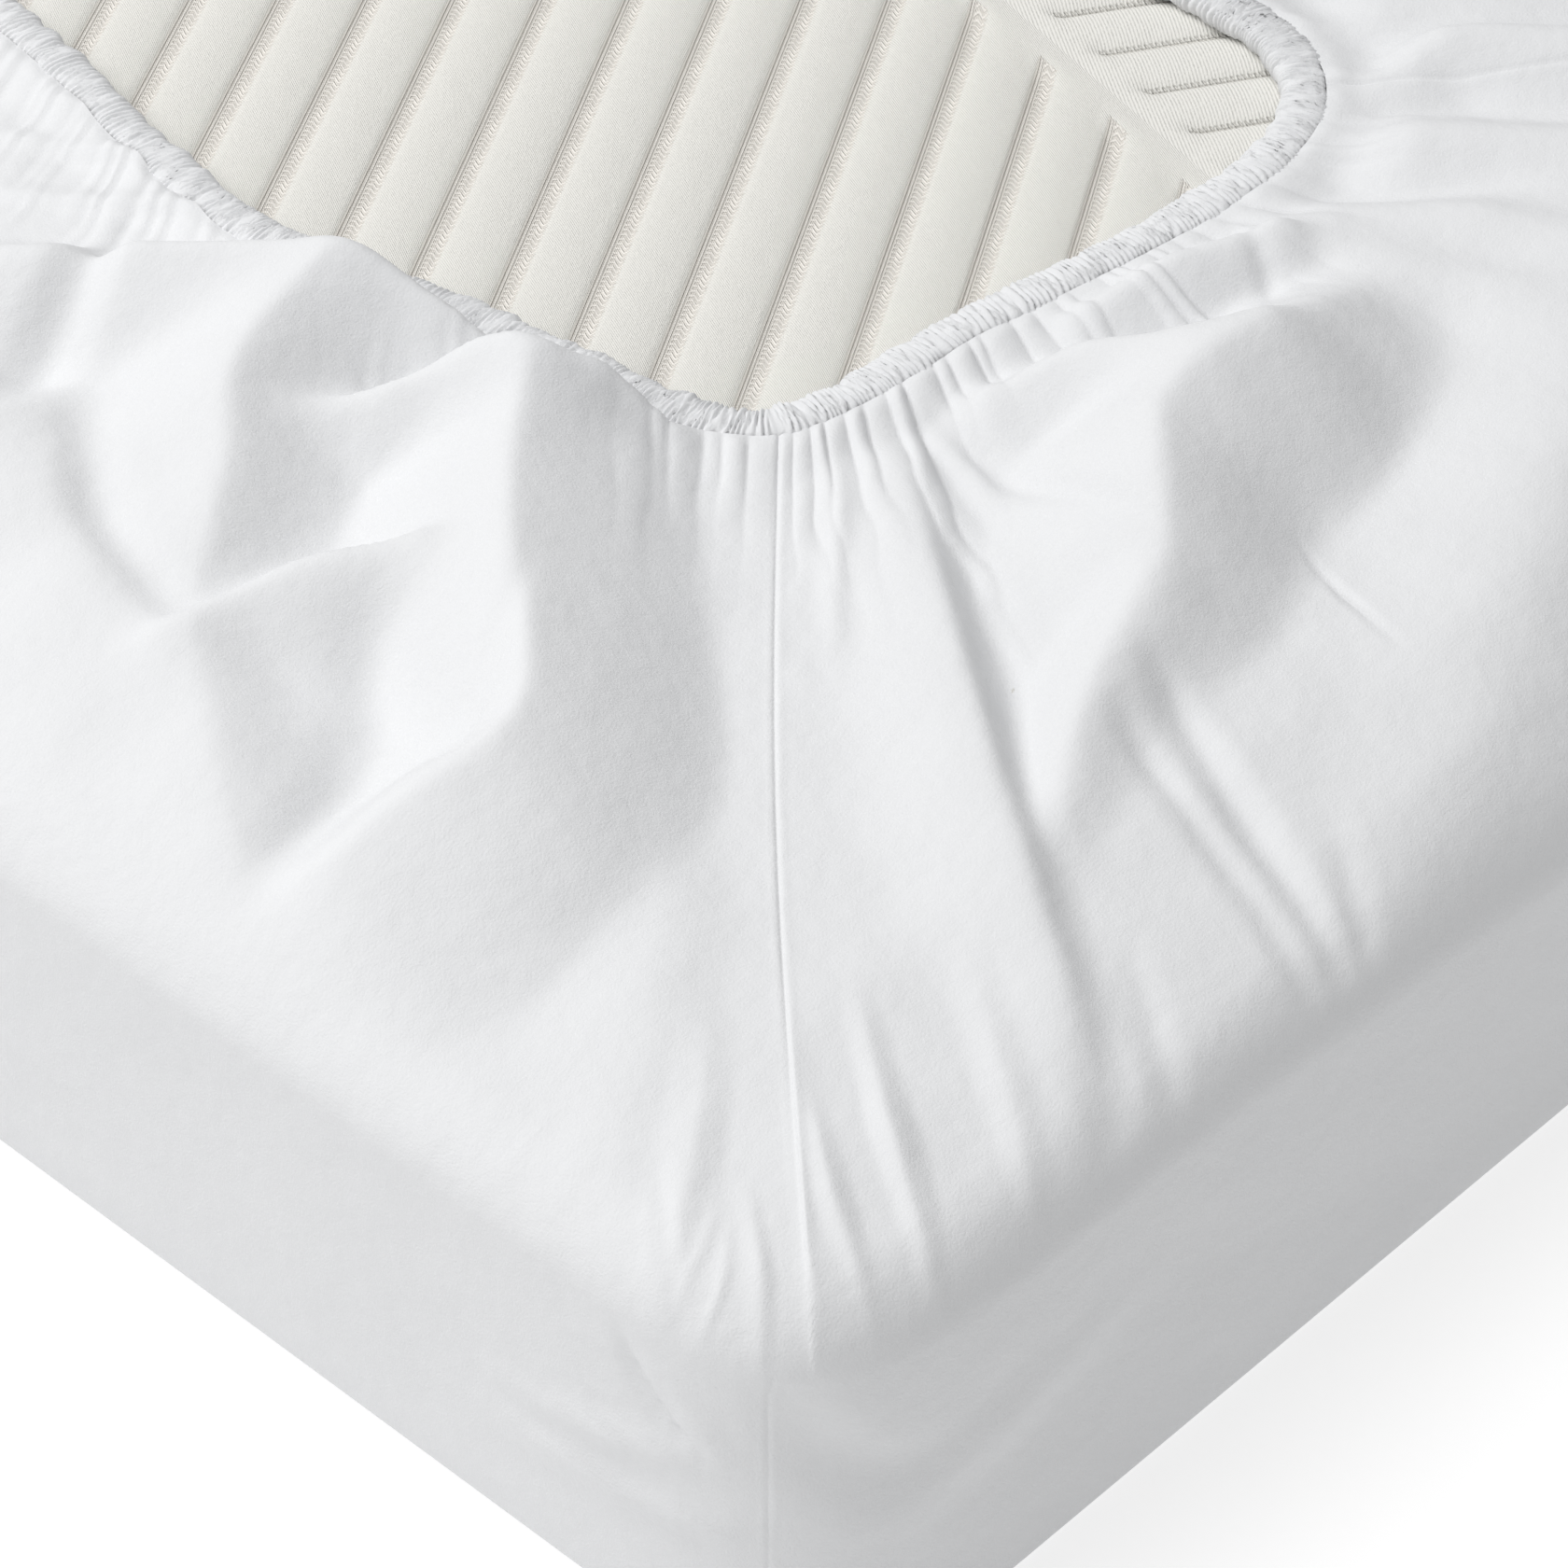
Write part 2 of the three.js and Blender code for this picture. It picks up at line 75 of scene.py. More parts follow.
# ------------ sizes, in mm, from the frame
SHEET_LOW, SHEET_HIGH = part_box("sheet")
WIDTH = (SHEET_HIGH[0] - SHEET_LOW[0]) / MM
LENGTH = (SHEET_HIGH[1] - SHEET_LOW[1]) / MM
HALF_WIDTH, HALF_LENGTH = WIDTH / 2, LENGTH / 2
FLAT_TOP = 127.0  # the cloth's outer face where it lies flat on the mattress
CORNER_RUN = 80.0  # the soft edge of the upper face: how far in it starts
CORNER_DROP = 28.0  # and how far it falls by the side
FRONT_DROP = 10.0  # how much farther it falls along the front, where it is pulled down
FRONT_DROP_FROM, FRONT_DROP_RUN = -230.0, 190.0  # the x at which that starts, and its run
FRONT_DROP_END, FRONT_DROP_FADE = 330.0, 150.0  # and where it has died out again
FRONT_LINE, FRONT_LINE_RUN = 300.0, 200.0  # mm to the front of the middle, and its run
CORNER_POWER = 3.5  # how square a corner is in plan
EDGE_RADIUS = 18.0  # the tight turn from the soft edge down to the wall
CROWN_POWER = 1.5  # how late the soft edge starts to lean
BASE_RADIUS = 3.0
MATTRESS_RADIUS = 2.0

# The hem's outer edge from above: a few points a side, each side starting at a corner seam.
HEM_SIDES = [
    [(-114, -427), (-88, -434), (-45, -436), (0, -442), (55, -446), (90, -441)],
    [(114, -427), (130, -402), (134, -370), (134, -250), (130, -100), (134, 70), (130, 240),
     (130, 370)],
    [(105, 425), (50, 421), (0, 425), (-55, 421)],
    [(-110, 425), (-130, 375), (-135, 230), (-130, 60), (-122, -60), (-130, -140), (-144, -205),
     (-151, -250), (-146, -290), (-138, -330), (-134, -365), (-130, -398), (-125, -413)],
]
HEM_WIDTH = 14.0
HEM_HEIGHT = 8.0


def smooth(t):
    t = np.clip(t, 0, 1)
    return t * t * (3 - 2 * t)


# ------------ curves
def steps_round(line):
    """The distance from each point of a closed line to the next."""
    return np.linalg.norm(np.roll(line, -1, axis=0) - line, axis=1)


def catmull_rom(points, closed, samples):
    """Points along a centripetal Catmull-Rom curve, samples steps from each point to the next."""
    points = np.asarray(points, float)
    count = len(points)
    if closed:
        rows = [np.take(points, range(i - 1, i + 3), axis=0, mode="wrap") for i in range(count)]
    else:
        ends = np.vstack([2 * points[0] - points[1], points, 2 * points[-1] - points[-2]])
        rows = [ends[i:i + 4] for i in range(count - 1)]
    curve = []
    for p0, p1, p2, p3 in rows:
        t0 = 0.0
        t1 = t0 + max(np.linalg.norm(p1 - p0), 1e-6) ** 0.5
        t2 = t1 + max(np.linalg.norm(p2 - p1), 1e-6) ** 0.5
        t3 = t2 + max(np.linalg.norm(p3 - p2), 1e-6) ** 0.5
        for t in np.linspace(t1, t2, samples, endpoint=False):
            a1 = (t1 - t) / (t1 - t0) * p0 + (t - t0) / (t1 - t0) * p1
            a2 = (t2 - t) / (t2 - t1) * p1 + (t - t1) / (t2 - t1) * p2
            a3 = (t3 - t) / (t3 - t2) * p2 + (t - t2) / (t3 - t2) * p3
            b1 = (t2 - t) / (t2 - t0) * a1 + (t - t0) / (t2 - t0) * a2
            b2 = (t3 - t) / (t3 - t1) * a2 + (t - t1) / (t3 - t1) * a3
            curve.append((t2 - t) / (t2 - t1) * b1 + (t - t1) / (t2 - t1) * b2)
    if not closed:
        curve.append(points[-1])
    return np.array(curve)


HEM_SAMPLES = 60
HEM_WAY_STEP = 1.5  # mm each way, to find which way the hem runs
hem_line = catmull_rom([p for side in HEM_SIDES for p in side], True, HEM_SAMPLES)
hem_walk = np.concatenate([[0], np.cumsum(steps_round(hem_line))])
HEM_LENGTH = hem_walk[-1]
hem_seams = [hem_walk[sum(len(s) for s in HEM_SIDES[:k]) * HEM_SAMPLES] for k in range(5)]


def hem_point(walk):
    """Plan point on the hem and the direction into the opening, at a distance along the hem."""
    walk = np.mod(walk, HEM_LENGTH)
    closed = np.vstack([hem_line, hem_line[:1]])
    x = np.interp(walk, hem_walk, closed[:, 0])
    y = np.interp(walk, hem_walk, closed[:, 1])
    ahead = np.mod(walk + HEM_WAY_STEP, HEM_LENGTH)
    behind = np.mod(walk - HEM_WAY_STEP, HEM_LENGTH)
    tx = np.interp(ahead, hem_walk, closed[:, 0]) - np.interp(behind, hem_walk, closed[:, 0])
    ty = np.interp(ahead, hem_walk, closed[:, 1]) - np.interp(behind, hem_walk, closed[:, 1])
    size = np.hypot(tx, ty)
    return np.stack([x, y], -1), np.stack([-ty / size, tx / size], -1)


# ------------ outline and crown
def edge_share(x, y, half_width, half_length):
    """0 on the flat of the upper face, 1 at the side."""
    u = np.maximum(0, 1 - (half_width - np.abs(x)) / CORNER_RUN)
    v = np.maximum(0, 1 - (half_length - np.abs(y)) / CORNER_RUN)
    return (u ** CORNER_POWER + v ** CORNER_POWER) ** (1 / CORNER_POWER)


def corner_drop(x, y):
    """How far the soft edge falls in all, by place."""
    front = smooth((x - FRONT_DROP_FROM) / FRONT_DROP_RUN)
    front = front * smooth((-y - FRONT_LINE) / FRONT_LINE_RUN)
    return CORNER_DROP + FRONT_DROP * front * smooth((FRONT_DROP_END - x) / FRONT_DROP_FADE)


def crown_fall(x, y, half_width, half_length):
    """How far the soft edge has fallen: a slow lean, then a tight turn."""
    share = np.minimum(1, edge_share(x, y, half_width, half_length))
    turn = np.clip(1 - (1 - share) * CORNER_RUN / EDGE_RADIUS, 0, 1)
    lean = (corner_drop(x, y) - EDGE_RADIUS) * share ** CROWN_POWER
    return lean + EDGE_RADIUS * (1 - np.sqrt(1 - turn ** 2))


SEAM_FINENESS = 1.7  # columns crowd together towards a corner seam


def corner_row(side, way, outward, turn, end):
    """One column of a corner: turn is 1 at the seam, end is -1 at a side's start and 1 at its end."""
    along = turn * 0.5 ** (1 / CORNER_POWER)
    out = (1 - along ** CORNER_POWER) ** (1 / CORNER_POWER)
    return (side, *(outward + end * way), *(outward * out + end * along * way))


class Columns:
    """Columns round the sheet, anticlockwise from the front left seam."""

    def __init__(self, corner_counts, stations):
        rows = []
        for side, way in enumerate(np.array([(1, 0), (0, 1), (-1, 0), (0, -1)])):
            outward = np.array([way[1], -way[0]])
            for t in np.linspace(0, 1, corner_counts[side], endpoint=False):
                rows.append(corner_row(side, way, outward, 1 - t ** SEAM_FINENESS, -1))
            for station in stations[side]:
                rows.append((side, *(way * station + outward), *outward))
            for t in np.linspace(0, 1, corner_counts[(side + 1) % 4], endpoint=False):
                rows.append(corner_row(side, way, outward, 1 - (1 - t) ** SEAM_FINENESS, 1))
        table = np.array(rows)
        self.side = table[:, 0].astype(int)
        self.flat = table[:, 1:3]
        self.soft = table[:, 3:5]
        self.count = len(rows)
        self.firsts = np.flatnonzero(self.side != np.roll(self.side, 1))
        steps = steps_round(self.outline(HALF_WIDTH, HALF_LENGTH))
        self.walk = np.zeros(self.count)
        for side in range(4):
            own = np.flatnonzero(self.side == side)
            gone = np.concatenate([[0], np.cumsum(steps[own])])
            share = gone[:-1] / gone[-1]
            self.walk[own] = hem_seams[side] + share * (hem_seams[side + 1] - hem_seams[side])
        self.hem, _ = hem_point(self.walk)

    def outline(self, half_width, half_length):
        """The sheet's outline from above, for any half width and half length."""
        inner = np.array([half_width - CORNER_RUN, half_length - CORNER_RUN])
        return self.flat * inner + self.soft * CORNER_RUN


def graded(*parts):
    """Stations from part to part: each is (from, to, steps)."""
    return np.concatenate([np.linspace(a, b, n, endpoint=False) for a, b, n in parts])


# ------------ folds of the turned-in border
# Each fold is its crispness, 0 for a round crest and 1 for a sharp one, and then its crest,
# walked from the hem outwards or from left to right. The crest's columns are x, y, the rise
# there, and how far the fold reaches to the walker's left and right, all in mm.
BILLOWS = {
    "back billow": (0.6, [
        (-240, -205, 15, 35, 50), (-215, -230, 21, 32, 50), (-190, -260, 25, 28, 50),
        (-170, -285, 26, 26, 50), (-155, -310, 25, 18, 45), (-147, -335, 18, 12, 30),
        (-140, -350, 6, 8, 15)]),
    "back billow front": (0.6, [
        (-160, -305, 25, 45, 45), (-190, -310, 25, 50, 55), (-210, -320, 23, 45, 55),
        (-230, -340, 18, 38, 50), (-250, -355, 12, 28, 36), (-265, -365, 5, 16, 20)]),
    "left field": (0, [
        (-265, -270, 15, 60, 60), (-265, -325, 10, 60, 55), (-310, -370, 7, 60, 60),
        (-345, -400, 4, 60, 60)]),
    "middle crest": (0.6, [
        (-285, -375, 10, 12, 26), (-260, -380, 14, 13, 36), (-245, -385, 16, 14, 40),
        (-220, -400, 18, 14, 34)]),
    "middle crest arm": (0.5, [
        (-280, -380, 11, 26, 50), (-300, -410, 11, 32, 56), (-320, -440, 9, 32, 56),
        (-335, -460, 4, 24, 40)]),
    "front billow arm": (0.5, [
        (-155, -370, 25, 40, 12), (-165, -360, 23, 36, 13), (-180, -350, 19, 30, 13),
        (-200, -335, 12, 20, 12)]),
    "front billow top": (0.4, [
        (-160, -365, 24, 16, 40), (-152, -380, 26, 22, 46), (-143, -390, 22, 18, 36),
        (-135, -400, 10, 10, 20)]),
    "front billow": (0.6, [
        (-160, -380, 26, 44, 40), (-185, -400, 26, 52, 48), (-210, -425, 26, 54, 48),
        (-230, -450, 26, 52, 38), (-250, -470, 25, 54, 28), (-265, -475, 24, 60, 26),
        (-285, -472, 21, 66, 28), (-320, -465, 13, 62, 26), (-345, -458, 6, 44, 20)]),
    "seam panel": (0, [
        (-145, -425, 1, 18, 40), (-210, -480, 2, 20, 46), (-285, -550, 3, 24, 36),
        (-330, -575, 2, 22, 30)]),
    "right ridge": (0.3, [
        (-100, -460, 4, 9, 20), (-130, -500, 8, 11, 30), (-160, -540, 9, 13, 38),
        (-190, -580, 8, 14, 38), (-215, -615, 6, 14, 32), (-240, -650, 3, 12, 26)]),
    "seam side ridge": (0.5, [
        (-106, -437, 1.5, 4, 4), (-120, -455, 3.5, 6, 5), (-145, -480, 3, 6, 6),
        (-170, -505, 0.5, 5, 6)]),
    "right second ridge": (0.3, [
        (-105, -545, 16, 30, 20), (-145, -562, 10, 22, 20), (-195, -590, 3, 12, 16)]),
    "right billow top": (0.5, [
        (-62, -458, 8, 9, 24), (-42, -470, 18, 16, 38), (-28, -490, 25, 22, 46),
        (-8, -505, 26, 32, 50), (15, -505, 20, 34, 52), (40, -500, 9, 28, 42)]),
    "right billow": (0.5, [
        (-15, -508, 25, 46, 30), (-35, -505, 28, 54, 34), (-55, -508, 28, 54, 38),
        (-70, -520, 27, 46, 44), (-85, -535, 23, 38, 46), (-100, -548, 15, 30, 36),
        (-115, -558, 7, 22, 24), (-128, -568, 2, 14, 14)]),
    "behind right": (0.1, [
        (-20, -452, 6, 8, 18), (10, -458, 13, 10, 26), (40, -468, 14, 12, 26)]),
    "far right": (0, [
        (60, -475, 9, 20, 30), (85, -505, 12, 28, 38), (95, -540, 10, 30, 40)]),
    "far right ridge": (0.1, [
        (128, -440, 5, 12, 20), (148, -442, 13, 20, 26), (172, -472, 14, 28, 34),
        (205, -520, 8, 30, 36), (228, -555, 2, 26, 30)]),
    "right plateau": (0, [
        (110, -530, 11, 50, 75), (40, -575, 10, 45, 65), (-45, -615, 7, 40, 45),
        (-110, -642, 3, 40, 32)]),
}

# Creases and soft hollows, cut into the billows; their rise is below zero.
CREASES = {
    "far left valley": (0.2, [
        (-185, -245, -6, 10, 12), (-230, -265, -5, 14, 16), (-255, -270, -2, 14, 16)]),
    "far left hollow": (0, [
        (-240, -295, -2, 12, 12), (-260, -325, -5, 13, 13), (-275, -370, -2, 10, 10)]),
    "front billow notch": (0.2, [
        (-270, -465, -1, 6, 6), (-240, -450, -2, 7, 7), (-215, -435, -0.5, 6, 6)]),
    "front billow hollow": (0, [
        (-245, -410, -2, 15, 15), (-275, -440, -5, 18, 18), (-325, -460, -2, 16, 16)]),
    "tip crease": (0.6, [
        (-78, -450, -1.5, 5, 5), (-82, -480, -3.5, 7, 7), (-86, -510, -3, 6, 7),
        (-90, -535, -1, 5, 5)]),
    "valley by the tip": (0.4, [
        (-84, -450, -2, 5, 5), (-92, -470, -3, 7, 6), (-104, -495, -1, 7, 6)]),
    "broad valley": (0.1, [
        (-110, -490, -1, 9, 8), (-140, -532, -3, 13, 10), (-170, -570, -1.5, 12, 10)]),
    "diagonal one": (0.4, [
        (-140, -570, -1.5, 6, 6), (-155, -615, -2.5, 6, 7), (-180, -685, -1.5, 7, 9)]),
    "diagonal two": (0.4, [
        (-120, -565, -2, 6, 8), (-140, -610, -4, 8, 10), (-172, -690, -1.5, 7, 9)]),
    "valley by the right ridge": (0.2, [
        (-100, -468, -0.5, 6, 4), (-142, -525, -1.5, 9, 5), (-190, -590, -2, 10, 6),
        (-230, -645, -1.5, 9, 6), (-252, -672, -0.5, 7, 6)]),
    "edge hollow one": (0.1, [
        (-220, -625, -0.4, 6, 6), (-240, -650, -1.4, 7, 7), (-258, -672, -0.6, 6, 6)]),
    "edge hollow two": (0.1, [
        (-195, -620, -0.5, 5, 6), (-218, -650, -1.8, 8, 7), (-230, -670, -0.8, 6, 6)]),
    "edge hollow three": (0.1, [
        (-125, -625, -0.5, 6, 6), (-145, -650, -2, 8, 7), (-155, -670, -0.8, 6, 6)]),
    "behind line": (0.4, [
        (38, -456, -1, 4, 4), (28, -475, -2.5, 5, 5), (14, -492, -1, 4, 4)]),
}
# How far some billows swell on the walker's left.
FULLNESS = {"back billow": 0.2, "front billow top": 0.3, "front billow": 0.5,
            "right billow top": 0.4, "right billow": 0.5}
UNION_POWER = 3.0  # how closely billows keep to the higher one where they meet

# Fine folds, too thin for the field's grid. Same columns.
FINE_CREASES = {
    "corner ridge one": (0.5, [
        (-288, -605, 0.5, 4, 4), (-305, -626, 2.2, 6, 5), (-320, -650, 0.6, 4, 4)]),
    "corner ridge two": (0.5, [
        (-255, -590, 0.5, 5, 5), (-282, -624, 2.8, 8, 6), (-304, -655, 0.8, 5, 4)]),
    "corner ridge three": (0.4, [
        (-228, -600, 0.4, 6, 8), (-252, -632, 1.8, 8, 8), (-270, -655, 0.6, 6, 6)]),
    "corner ridge left": (0.3, [
        (-285, -570, 0.4, 8, 9), (-315, -592, 2.4, 9, 12), (-346, -610, 1.4, 8, 10)]),
    "corner wrinkle one": (0.5, [
        (-322, -606, 0.3, 2.5, 3), (-334, -612, 1, 2.5, 3), (-345, -614, 0.3, 2.5, 3)]),
    "corner wrinkle two": (0.5, [
        (-330, -616, 0.3, 2.5, 3), (-340, -622, 1.1, 2.5, 3), (-350, -622, 0.3, 2.5, 3)]),
    "corner pleat": (0.6, [
        (-318, -612, 0.4, 3, 4), (-332, -628, 1.6, 4, 5), (-346, -640, 0.8, 3, 4)]),
    "corner crease": (0.6, [
        (-325, -590, -0.3, 4, 4), (-340, -606, -1.2, 4, 5), (-350, -620, -0.8, 4, 4)]),
    "long left pleat one": (0.4, [
        (-132, -276, 1, 4, 6), (-155, -230, 3, 5, 9), (-178, -190, 1.5, 5, 9)]),
    "long left pleat two": (0.4, [
        (-128, -255, 1, 4, 6), (-144, -210, 3, 5, 8), (-160, -168, 1.5, 5, 8)]),
    "long left pleat three": (0.4, [
        (-124, -236, 0.8, 3, 5), (-130, -205, 2, 4, 7), (-142, -165, 1, 4, 7)]),
    "thin crease": (0.7, [
        (-54, -555, -0.5, 2.5, 2.5), (-60, -575, -1.5, 2.5, 2.5), (-66, -595, -0.5, 2.5, 2.5)]),
}

# Folds of the side by the near seam. Instead of x and y: how far right of the seam, and how high.
SIDE_FOLDS = {
    "low crease": (0.6, [
        (-110, 33, 0.5, 6, 6), (-65, 40, 2.6, 6, 8), (-25, 44, 2.8, 6, 8), (-2, 48, 1, 5, 5)]),
    "rising crease": (0.6, [
        (-90, 50, 0.6, 6, 7), (-50, 58, 2.8, 6, 9), (-14, 68, 1, 5, 7)]),
    "corner line": (0.5, [
        (-44, 94, -0.6, 5, 5), (-38, 85, -2.2, 5, 6), (-22, 71, -2.2, 5, 6),
        (-2, 61, -0.8, 4, 5)]),
    "left swell": (0, [
        (-30, 88, 0.6, 8, 10), (-18, 78, 2, 8, 12), (-6, 66, 0.6, 6, 8)]),
    "corner hollow": (0, [
        (5, 90, -1.5, 12, 16), (14, 75, -3, 16, 20), (30, 62, -1, 14, 16)]),
    "right swell": (0, [
        (20, 50, 0.5, 12, 12), (60, 58, 1.8, 16, 16), (110, 70, 0.5, 14, 14)]),
}

# Plainer gathers on the rest of the border: share of the way round, rise, half width, reach.
GATHERS = [
    (0.165, 10, 34, 0.6), (0.215, 15, 38, 0.7), (0.262, 9, 34, 0.5), (0.31, 13, 44, 0.65),
    (0.365, 10, 38, 0.55), (0.42, 16, 46, 0.7), (0.512, 12, 40, 0.6), (0.57, 9, 36, 0.5),
    (0.63, 15, 42, 0.7), (0.712, 14, 42, 0.65), (0.765, 10, 38, 0.5), (0.818, 16, 46, 0.7),
]

FIELD_STEP = 1.5  # mm between points of the fold field's grid
FIELD_BLUR = 1.7  # mm, how softly neighbouring folds run together
FIELD_MARGIN = 12.0  # mm that the grid goes past the sheet
CREASE_BLUR = 1.5  # mm
CREST_SAMPLES = 6
SHARP_POWER = 1.2  # a crisp fold's flank: 1 is a flat facet
FULL_POWER = 1.7  # a full fold's flank: steep at its foot


def fold_height(crest, x, y, crisp=0.0, full=0.0):
    """The rise of one fold at plan points; full swells the side on the walker's left."""
    rows = np.asarray(crest, float)
    line = catmull_rom(rows[:, :2], False, CREST_SAMPLES)
    place = np.linspace(0, len(rows) - 1, len(line))
    rise, left, right = (np.interp(place, np.arange(len(rows)), rows[:, i]) for i in (2, 3, 4))
    reach = max(left.max(), right.max())
    low, high = line.min(axis=0) - reach, line.max(axis=0) + reach
    near = np.flatnonzero((x > low[0]) & (x < high[0]) & (y > low[1]) & (y < high[1]))
    result = np.zeros(len(x))
    if not len(near):
        return result
    start, step = line[:-1, :, None], np.diff(line, axis=0)[:, :, None]
    size = np.hypot(step[:, 0], step[:, 1])
    from_x, from_y = x[near][None, :] - start[:, 0], y[near][None, :] - start[:, 1]
    t = np.clip((from_x * step[:, 0] + from_y * step[:, 1]) / size ** 2, 0, 1)
    ex, ey = from_x - t * step[:, 0], from_y - t * step[:, 1]
    distance = np.hypot(ex, ey)
    turn = (step[:, 0] * ey - step[:, 1] * ex) / (size * np.maximum(distance, 1e-6))
    on_left = (turn + 1) / 2

    def along(values):
        return values[:-1, None] + t * np.diff(values)[:, None]

    share = distance / (along(right) + (along(left) - along(right)) * on_left)
    soft = 1 - smooth(share)
    sharp = np.clip(1 - share, 0, 1) ** SHARP_POWER
    swollen = np.clip(1 - share ** FULL_POWER, 0, 1)
    height = along(rise) * (soft + (sharp - soft) * crisp + (swollen - soft) * full * on_left)
    # Each point takes the height over the crest's nearest stretch, with its neighbours mixed in.
    closest = distance.min(axis=0)
    weight = np.exp(-(distance - closest) / (0.4 + 0.08 * closest))
    result[near] = (weight * height).sum(axis=0) / weight.sum(axis=0)
    return result


def gather_rows(columns, around, rise, half, reach):
    """A plain gather's crest: it runs from the hem part of the way to the side."""
    gone = columns.walk - np.take(hem_seams, columns.side)
    own_share = gone / np.take(np.diff(hem_seams), columns.side)
    here = np.argmin(np.abs((columns.side + own_share) / 4 - around))
    outer = columns.outline(HALF_WIDTH, HALF_LENGTH)[here]
    hem = columns.hem[here]
    rows = []
    for share, part in ((0.12, 0.8), (0.12 + reach * 0.45, 1.0), (0.12 + reach, 0.3)):
        x, y = hem + (outer - hem) * share
        side = half * (0.7 + 0.5 * share)
        rows.append((x, y, rise * part, side, side))
    return rows


def blurred(grid, sigma):
    """A grid blurred along both axes, with sigma in cells."""
    reach = int(math.ceil(3 * sigma))
    offsets = np.arange(-reach, reach + 1)
    weights = np.exp(-0.5 * (offsets / sigma) ** 2)
    weights /= weights.sum()
    for axis in (0, 1):
        grid = sum(w * np.roll(grid, o, axis=axis) for w, o in zip(weights, offsets))
    return grid


class FoldField:
    """The border's billows and creases on a plan grid."""

    def __init__(self, columns):
        self.low = np.array([-HALF_WIDTH - FIELD_MARGIN, -HALF_LENGTH - FIELD_MARGIN])
        size = np.ceil((-2 * self.low) / FIELD_STEP).astype(int) + 1
        gx, gy = np.meshgrid(self.low[0] + np.arange(size[0]) * FIELD_STEP,
                             self.low[1] + np.arange(size[1]) * FIELD_STEP, indexing="ij")
        x, y = gx.ravel(), gy.ravel()
        joined = np.zeros(len(x))
        for name, (crisp, crest) in BILLOWS.items():
            rise = fold_height(crest, x, y, crisp, FULLNESS.get(name, 0))
            joined += rise ** UNION_POWER
        for gather in GATHERS:
            joined += fold_height(gather_rows(columns, *gather), x, y) ** UNION_POWER
        billows = (joined ** (1 / UNION_POWER)).reshape(size)
        self.billows = blurred(billows, FIELD_BLUR / FIELD_STEP)
        cuts = sum(fold_height(crest, x, y, crisp) for crisp, crest in CREASES.values())
        self.creases = blurred(cuts.reshape(size), CREASE_BLUR / FIELD_STEP)

    def at(self, grid, x, y):
        """The grid's height at plan points."""
        u = (x - self.low[0]) / FIELD_STEP
        v = (y - self.low[1]) / FIELD_STEP
        i = np.clip(u.astype(int), 0, grid.shape[0] - 2)
        j = np.clip(v.astype(int), 0, grid.shape[1] - 2)
        u, v = u - i, v - j
        return ((1 - u) * ((1 - v) * grid[i, j] + v * grid[i, j + 1])
                + u * ((1 - v) * grid[i + 1, j] + v * grid[i + 1, j + 1]))


# ------------ small pleats at the casing
# Beside the near seam, to the right and then to the left: where the valley between two pleats
# meets the casing, in mm from the seam, the pleat's rise before it, and how far it runs out.
NEAR_PLEATS_RIGHT = [
    (4, 0.7, 26), (9, 1.2, 60), (13, 1.9, 34), (20, 1.3, 64), (26, 2.2, 44), (34, 1.2, 30),
    (40, 2.6, 80), (52, 2.0, 46), (57, 1.4, 22), (66, 2.2, 30), (70, 1.2, 14), (81, 1.8, 24)]
NEAR_PLEATS_LEFT = [(8, 0.8, 40), (15, 1.8, 26), (20, 1.0, 16), (30, 2.0, 30)]
LAST_PLEAT_RISE, LAST_PLEAT_LENGTH = 1.5, 20  # the one that fills up to the left near pleats
PLEAT_SPACING = (3.5, 13.0)
PLEAT_RISE = (0.4, 2.3)
PLEAT_LENGTH = (9.0, 66.0)
PLEAT_DRIFT = 0.12  # mm along the hem for each mm out
PLEAT_WOBBLE = 0.04
NARROW_PLEAT = 4.0  # a pleat narrower than this rises less
PLEAT_ROUNDNESS = 0.8


def make_pleats(seed):
    """Pleats once round the hem: where each ends, its rise and its length."""
    pick = random.Random(seed)
    pleats = list(NEAR_PLEATS_RIGHT)
    last = HEM_LENGTH - NEAR_PLEATS_LEFT[-1][0]
    while pleats[-1][0] < last - PLEAT_SPACING[1]:
        place = pleats[-1][0] + pick.uniform(*PLEAT_SPACING)
        pleats.append((place, pick.uniform(*PLEAT_RISE), pick.uniform(*PLEAT_LENGTH)))
    pleats.append((last, LAST_PLEAT_RISE, LAST_PLEAT_LENGTH))
    for place, rise, length in reversed(NEAR_PLEATS_LEFT):
        end = HEM_LENGTH - max([0] + [p for p, _, _ in NEAR_PLEATS_LEFT if p < place])
        pleats.append((end, rise, length))
    return np.array(pleats)


def pleat_rise(pleats, walk, to_hem):
    """Rounded pleats side by side with sharp valleys, which drift and fade on the way out."""
    drift = to_hem * (PLEAT_DRIFT * ripple(walk, 0 * walk, size=70, seed=21)
                      + PLEAT_WOBBLE * ripple(walk, to_hem, size=30, seed=22))
    place = np.clip(walk + drift, 0, HEM_LENGTH - 1e-6)
    cell = np.searchsorted(pleats[:, 0], place, side="right")
    ends = np.concatenate([[0], pleats[:, 0]])
    width = ends[cell + 1] - ends[cell]
    share = (place - ends[cell]) / width
    rise = pleats[cell, 1] * np.minimum(1, width / NARROW_PLEAT)
    fade = np.exp(-(to_hem / pleats[cell, 2]) ** 2)
    return rise * (4 * share * (1 - share)) ** PLEAT_ROUNDNESS * fade


RIPPLE_WAVES = 7


